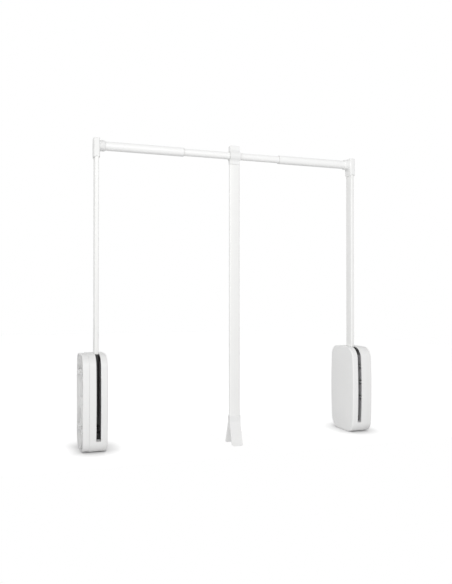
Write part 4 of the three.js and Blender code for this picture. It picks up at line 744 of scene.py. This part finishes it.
# Painted light: the crossbar's coat is the arms' white coat made lighter.
crossbar_lit_paint = finish_material("crossbar_powder_coat_lit", CROSSBAR_LIT_COLOUR, PAINT_ROUGHNESS, grain=700,
                                 bump=0.08)
for side in ("left", "right"):
    finished(bored_tube(f"{side}_outer_tube", TUBE_WALL), f"{side}_crossbar_tube", crossbar_lit_paint,
             f"{side}_arm", "white_steel", f"{side}_outer_tube")
finished(bored_tube("inner_tube", TUBE_WALL), "crossbar_inner_tube", crossbar_lit_paint, "rail",
         "white_steel", "inner_tube")


# Pull bar. A flat steel tube hangs from the crossbar by a moulded head, whose plate runs in hollow
# curves into a ring round the inner tube. Flanged nylon bushes line the ring.
HEAD_DEPTH = 13 * MM
HEAD_RING_WALL = 3.3 * MM
BUSH_WALL = 1 * MM
BUSH_ROOM = 0.6 * MM
HEAD_NECK = 9 * MM
HEAD_TOP_CORNER = 4 * MM
HEAD_EDGE = 1 * MM
HEAD_STEPS = 10
HEAD_ABOVE_RAIL = 30 * MM
HEAD_BELOW_RAIL = 25 * MM
BAR_ROUND = 3.5 * MM
BAR_WALL = 1.2 * MM


def head():
    """The head of the pull bar, bored for its bushes, with its tongue in the bar's top."""
    low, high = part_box("bar_head")
    tube_low, tube_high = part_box("inner_tube")
    bar_low, bar_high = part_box("pull_bar")
    y, z = (tube_low.y + tube_high.y) / 2, (tube_low.z + tube_high.z) / 2
    bore = (tube_high.z - tube_low.z) / 2 + BUSH_WALL + BUSH_ROOM
    ring = bore + HEAD_RING_WALL
    half = HEAD_DEPTH / 2
    across = half + HEAD_NECK
    rise = math.sqrt((ring + HEAD_NECK) ** 2 - across ** 2)
    turn = math.tan(math.atan2(rise, across) / 2)
    crest, hollow = ring * turn, HEAD_NECK * turn
    dip = rise - hollow
    side = [(half, HEAD_ABOVE_RAIL, HEAD_EDGE), (half, dip, hollow), (ring, crest, crest),
            (ring, -crest, crest), (half, -dip, hollow), (half, -HEAD_BELOW_RAIL, HEAD_EDGE)]
    outline = [(y + u, z + v, rounding) for u, v, rounding in side]
    outline += [(y - u, z + v, rounding) for u, v, rounding in reversed(side)]
    body = pulled(outline, low.x, high.x, segments=HEAD_STEPS)
    top = pulled(rectangle(low.x, high.x, z - HEAD_BELOW_RAIL - half, z + HEAD_ABOVE_RAIL, 0, 0,
                           HEAD_TOP_CORNER, HEAD_TOP_CORNER), y - 2 * ring, y + 2 * ring, "Y")
    body = solved(body, top, "INTERSECT")
    inset = BAR_WALL + CLEARANCE
    tongue = pulled(rectangle(bar_low.x + inset, bar_high.x - inset, bar_low.y + inset,
                              bar_high.y - inset, *[BAR_ROUND - inset] * 4),
                    low.z, z - bore, "Z")
    body = solved(body, tongue, "UNION")
    hole = turned([(low.x - half, 0), (low.x - half, bore), (high.x + half, bore), (high.x + half, 0)],
                  y, z, closed=False)
    return solved(body, hole, "DIFFERENCE")


soft_edges(finished(head(), "pull_bar_head", white_plastic, "pull_bar", "white_plastic", "bar_head"))
low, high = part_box("pull_bar")
finished(flat_tube(low, high, BAR_ROUND, BAR_WALL), "pull_bar_tube", white_steel, "pull_bar",
         "white_steel", "pull_bar")


# Grip. One moulding: a collar round the bar's end, from which two ribbed legs spread to the front
# and back, so that a hand or a pole's hook can pull the rail down.
GRIP_FLARE = 1.3 * MM
GRIP_COLLAR = 18 * MM
GRIP_WAIST = 7.5 * MM
GRIP_FRONT = 29.5 * MM
GRIP_REAR = 34 * MM
GRIP_LEG = 4 * MM
GRIP_WAIST_ROUND = 3 * MM
GRIP_CROTCH = 36 * MM
GRIP_CROTCH_HALF = 2.5 * MM
GRIP_CROTCH_ROUND = 1.5 * MM
GRIP_TOE_HEIGHT = 12 * MM
GRIP_TOE_KICK = 6 * MM
GRIP_TOE_CORNER = 6 * MM
GRIP_TOE_ROUND = 1.5 * MM
GRIP_BEND_OUTSIDE = 4 * MM
GRIP_BEND_INSIDE = 3 * MM
GRIP_SOCKET = 22 * MM
GRIP_RIB = 2 * MM
GRIP_RIB_HEIGHT = 3 * MM
GRIP_RIB_ABOVE_FOOT = 0.6 * MM


def grip():
    """The grip, with the socket for the bar's end and the rib down each leg."""
    low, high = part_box("grip")
    bar_low, bar_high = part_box("pull_bar")
    y = (bar_low.y + bar_high.y) / 2
    foot = low.z + GRIP_TOE_HEIGHT
    waist = high.z - GRIP_COLLAR
    crotch = high.z - GRIP_CROTCH

    def leg(reach):
        inside = reach - GRIP_TOE_KICK - GRIP_LEG
        return [(GRIP_WAIST + GRIP_FLARE, high.z, RIM_ROUND), (GRIP_WAIST, waist, GRIP_WAIST_ROUND),
                (reach - GRIP_TOE_KICK, foot, GRIP_BEND_OUTSIDE), (reach, low.z, GRIP_TOE_ROUND),
                (reach - GRIP_LEG, low.z, GRIP_TOE_ROUND), (inside, foot, GRIP_BEND_INSIDE),
                (GRIP_CROTCH_HALF, crotch, GRIP_CROTCH_ROUND)]

    outline = [(y - u, v, rounding) for u, v, rounding in leg(GRIP_FRONT)]
    outline += [(y + u, v, rounding) for u, v, rounding in reversed(leg(GRIP_REAR))]
    body = pulled(outline, low.x, high.x)
    face = pulled(rectangle(low.x, high.x, low.z, high.z + GRIP_LEG, GRIP_TOE_CORNER, GRIP_TOE_CORNER,
                            0, 0), y - 2 * GRIP_REAR, y + 2 * GRIP_REAR, "Y")
    middle = (low.x + high.x) / 2
    rib_end = foot + GRIP_RIB_ABOVE_FOOT
    for sign, reach in ((-1, GRIP_FRONT), (1, GRIP_REAR)):
        inside = reach - GRIP_TOE_KICK - GRIP_LEG
        leg_rib = pulled([(y, crotch + GRIP_CROTCH_HALF, 0),
                          (y + sign * (inside + GRIP_LEG / 2), rib_end, 0),
                          (y + sign * (inside - GRIP_RIB_HEIGHT), rib_end, 0),
                          (y, crotch - GRIP_RIB_HEIGHT, 0)],
                         middle - GRIP_RIB / 2, middle + GRIP_RIB / 2)
        body = solved(body, leg_rib, "UNION")
    body = solved(body, face, "INTERSECT")
    socket = pulled(rectangle(bar_low.x - CLEARANCE, bar_high.x + CLEARANCE, bar_low.y - CLEARANCE,
                              bar_high.y + CLEARANCE, *[BAR_ROUND] * 4),
                    high.z - GRIP_SOCKET, high.z + GRIP_SOCKET, "Z")
    return solved(body, socket, "DIFFERENCE")


soft_edges(finished(grip(), "pull_bar_grip", white_plastic, "pull_bar", "white_plastic", "grip"))


# Lift springs. Each is a torsion spring of oiled steel wire, wound round the hub's sleeve. One leg
# leans on a post of the base shell and the other hooks into the sleeve, so that the turns wind up
# as the arm comes down.
SPRING_COLOUR = (0.12, 0.12, 0.13, 1)
WIRE_RADIUS = 1.8 * MM
WIRE_STEPS = 36
WIRE_SIDES = 20
SPRING_TURNS = 2.5
HOOK_BEND = 3.2 * MM
HOOK_STEPS = 8
HOOK_LENGTH = 1.6 * MM


def lift_spring():
    """The left lift spring: a straight leg, the turns and a hook that points at the axle."""
    low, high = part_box("left_lift_spring")
    axle_low, axle_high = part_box("left_axle")
    axle_y, axle_z = ((axle_low + axle_high) / 2).yz
    radius = high.y - axle_y - WIRE_RADIUS
    start, end = low.x + WIRE_RADIUS, high.x - WIRE_RADIUS
    wound = SPRING_TURNS * 2 * math.pi
    steps = round(SPRING_TURNS * WIRE_STEPS)
    inwards = Matrix.Rotation(wound, 3, "X") @ Vector((0, -1, 0))
    bend_middle = Vector((end, axle_y, axle_z)) - inwards * (radius - HOOK_BEND)
    bm = bmesh.new()
    bmesh.ops.create_circle(bm, cap_ends=True, segments=WIRE_SIDES, radius=WIRE_RADIUS)
    bmesh.ops.translate(bm, verts=bm.verts, vec=(start, axle_y + radius, low.z))
    tip = bmesh.ops.extrude_face_region(bm, geom=bm.faces[:])["geom"]
    bmesh.ops.translate(bm, vec=(0, 0, axle_z - low.z),
                        verts=[g for g in tip if isinstance(g, bmesh.types.BMVert)])
    tip = bmesh.ops.spin(bm, geom=tip, axis=(1, 0, 0), cent=(start, axle_y, axle_z), angle=wound,
                         steps=steps, dvec=((end - start) / steps, 0, 0))["geom_last"]
    tip = bmesh.ops.spin(bm, geom=tip, axis=(1, 0, 0), cent=bend_middle, angle=math.pi / 2,
                         steps=HOOK_STEPS)["geom_last"]
    tip = bmesh.ops.extrude_face_region(bm, geom=tip)["geom"]
    bmesh.ops.translate(bm, vec=inwards * HOOK_LENGTH,
                        verts=[g for g in tip if isinstance(g, bmesh.types.BMVert)])
    bmesh.ops.recalc_face_normals(bm, faces=bm.faces)
    return bm


spring_wire = finish_material("oiled_spring_wire", SPRING_COLOUR, 0.3, metallic=1)
for side, bm in both_ends(lift_spring()):
    piece = finished(bm, f"{side}_box_spring", spring_wire, None, "spring_steel",
                     f"{side}_lift_spring")
    low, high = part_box(f"{side}_lift_spring")
    leg_end, hook_start = low.x + 2 * WIRE_RADIUS, high.x - 2 * WIRE_RADIUS
    if side == "right":
        leg_end, hook_start = hook_start, leg_end
    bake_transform(piece)


# Carried-over pieces. The parts inside the boxes, the guides, bushes and screws are taken from the
# solid model as they are, with finishes of their own.
GREY_COLOUR = (0.28, 0.28, 0.29, 1)
BLACK_COLOUR = (0.06, 0.06, 0.062, 1)
RUBBER_COLOUR = (0.03, 0.03, 0.03, 1)
NYLON_COLOUR = (0.8, 0.8, 0.79, 1)

grey_plastic = finish_material("grey_moulding", GREY_COLOUR, 0.55, grain=1600, bump=0.12)
black_plastic = finish_material("black_moulding", BLACK_COLOUR, 0.5, grain=1600, bump=0.12)
rubber = finish_material("black_rubber", RUBBER_COLOUR, 0.85, grain=1200, bump=0.2)
nylon = finish_material("natural_nylon", NYLON_COLOUR, 0.4, bump=0.04)
finishes = {"zinc_steel": zinc, "spring_steel": spring_wire, "grey_plastic": grey_plastic,
            "black_plastic": black_plastic, "black_rubber": rubber, "nylon": nylon,
            "white_plastic": white_plastic, "white_steel": white_steel}
for part in frame["record"]["subparts"]:
    node = frame["nodes"][part["node"]]
    node.data.materials.clear()
    node.data.materials.append(finishes[part["material_slot"]])
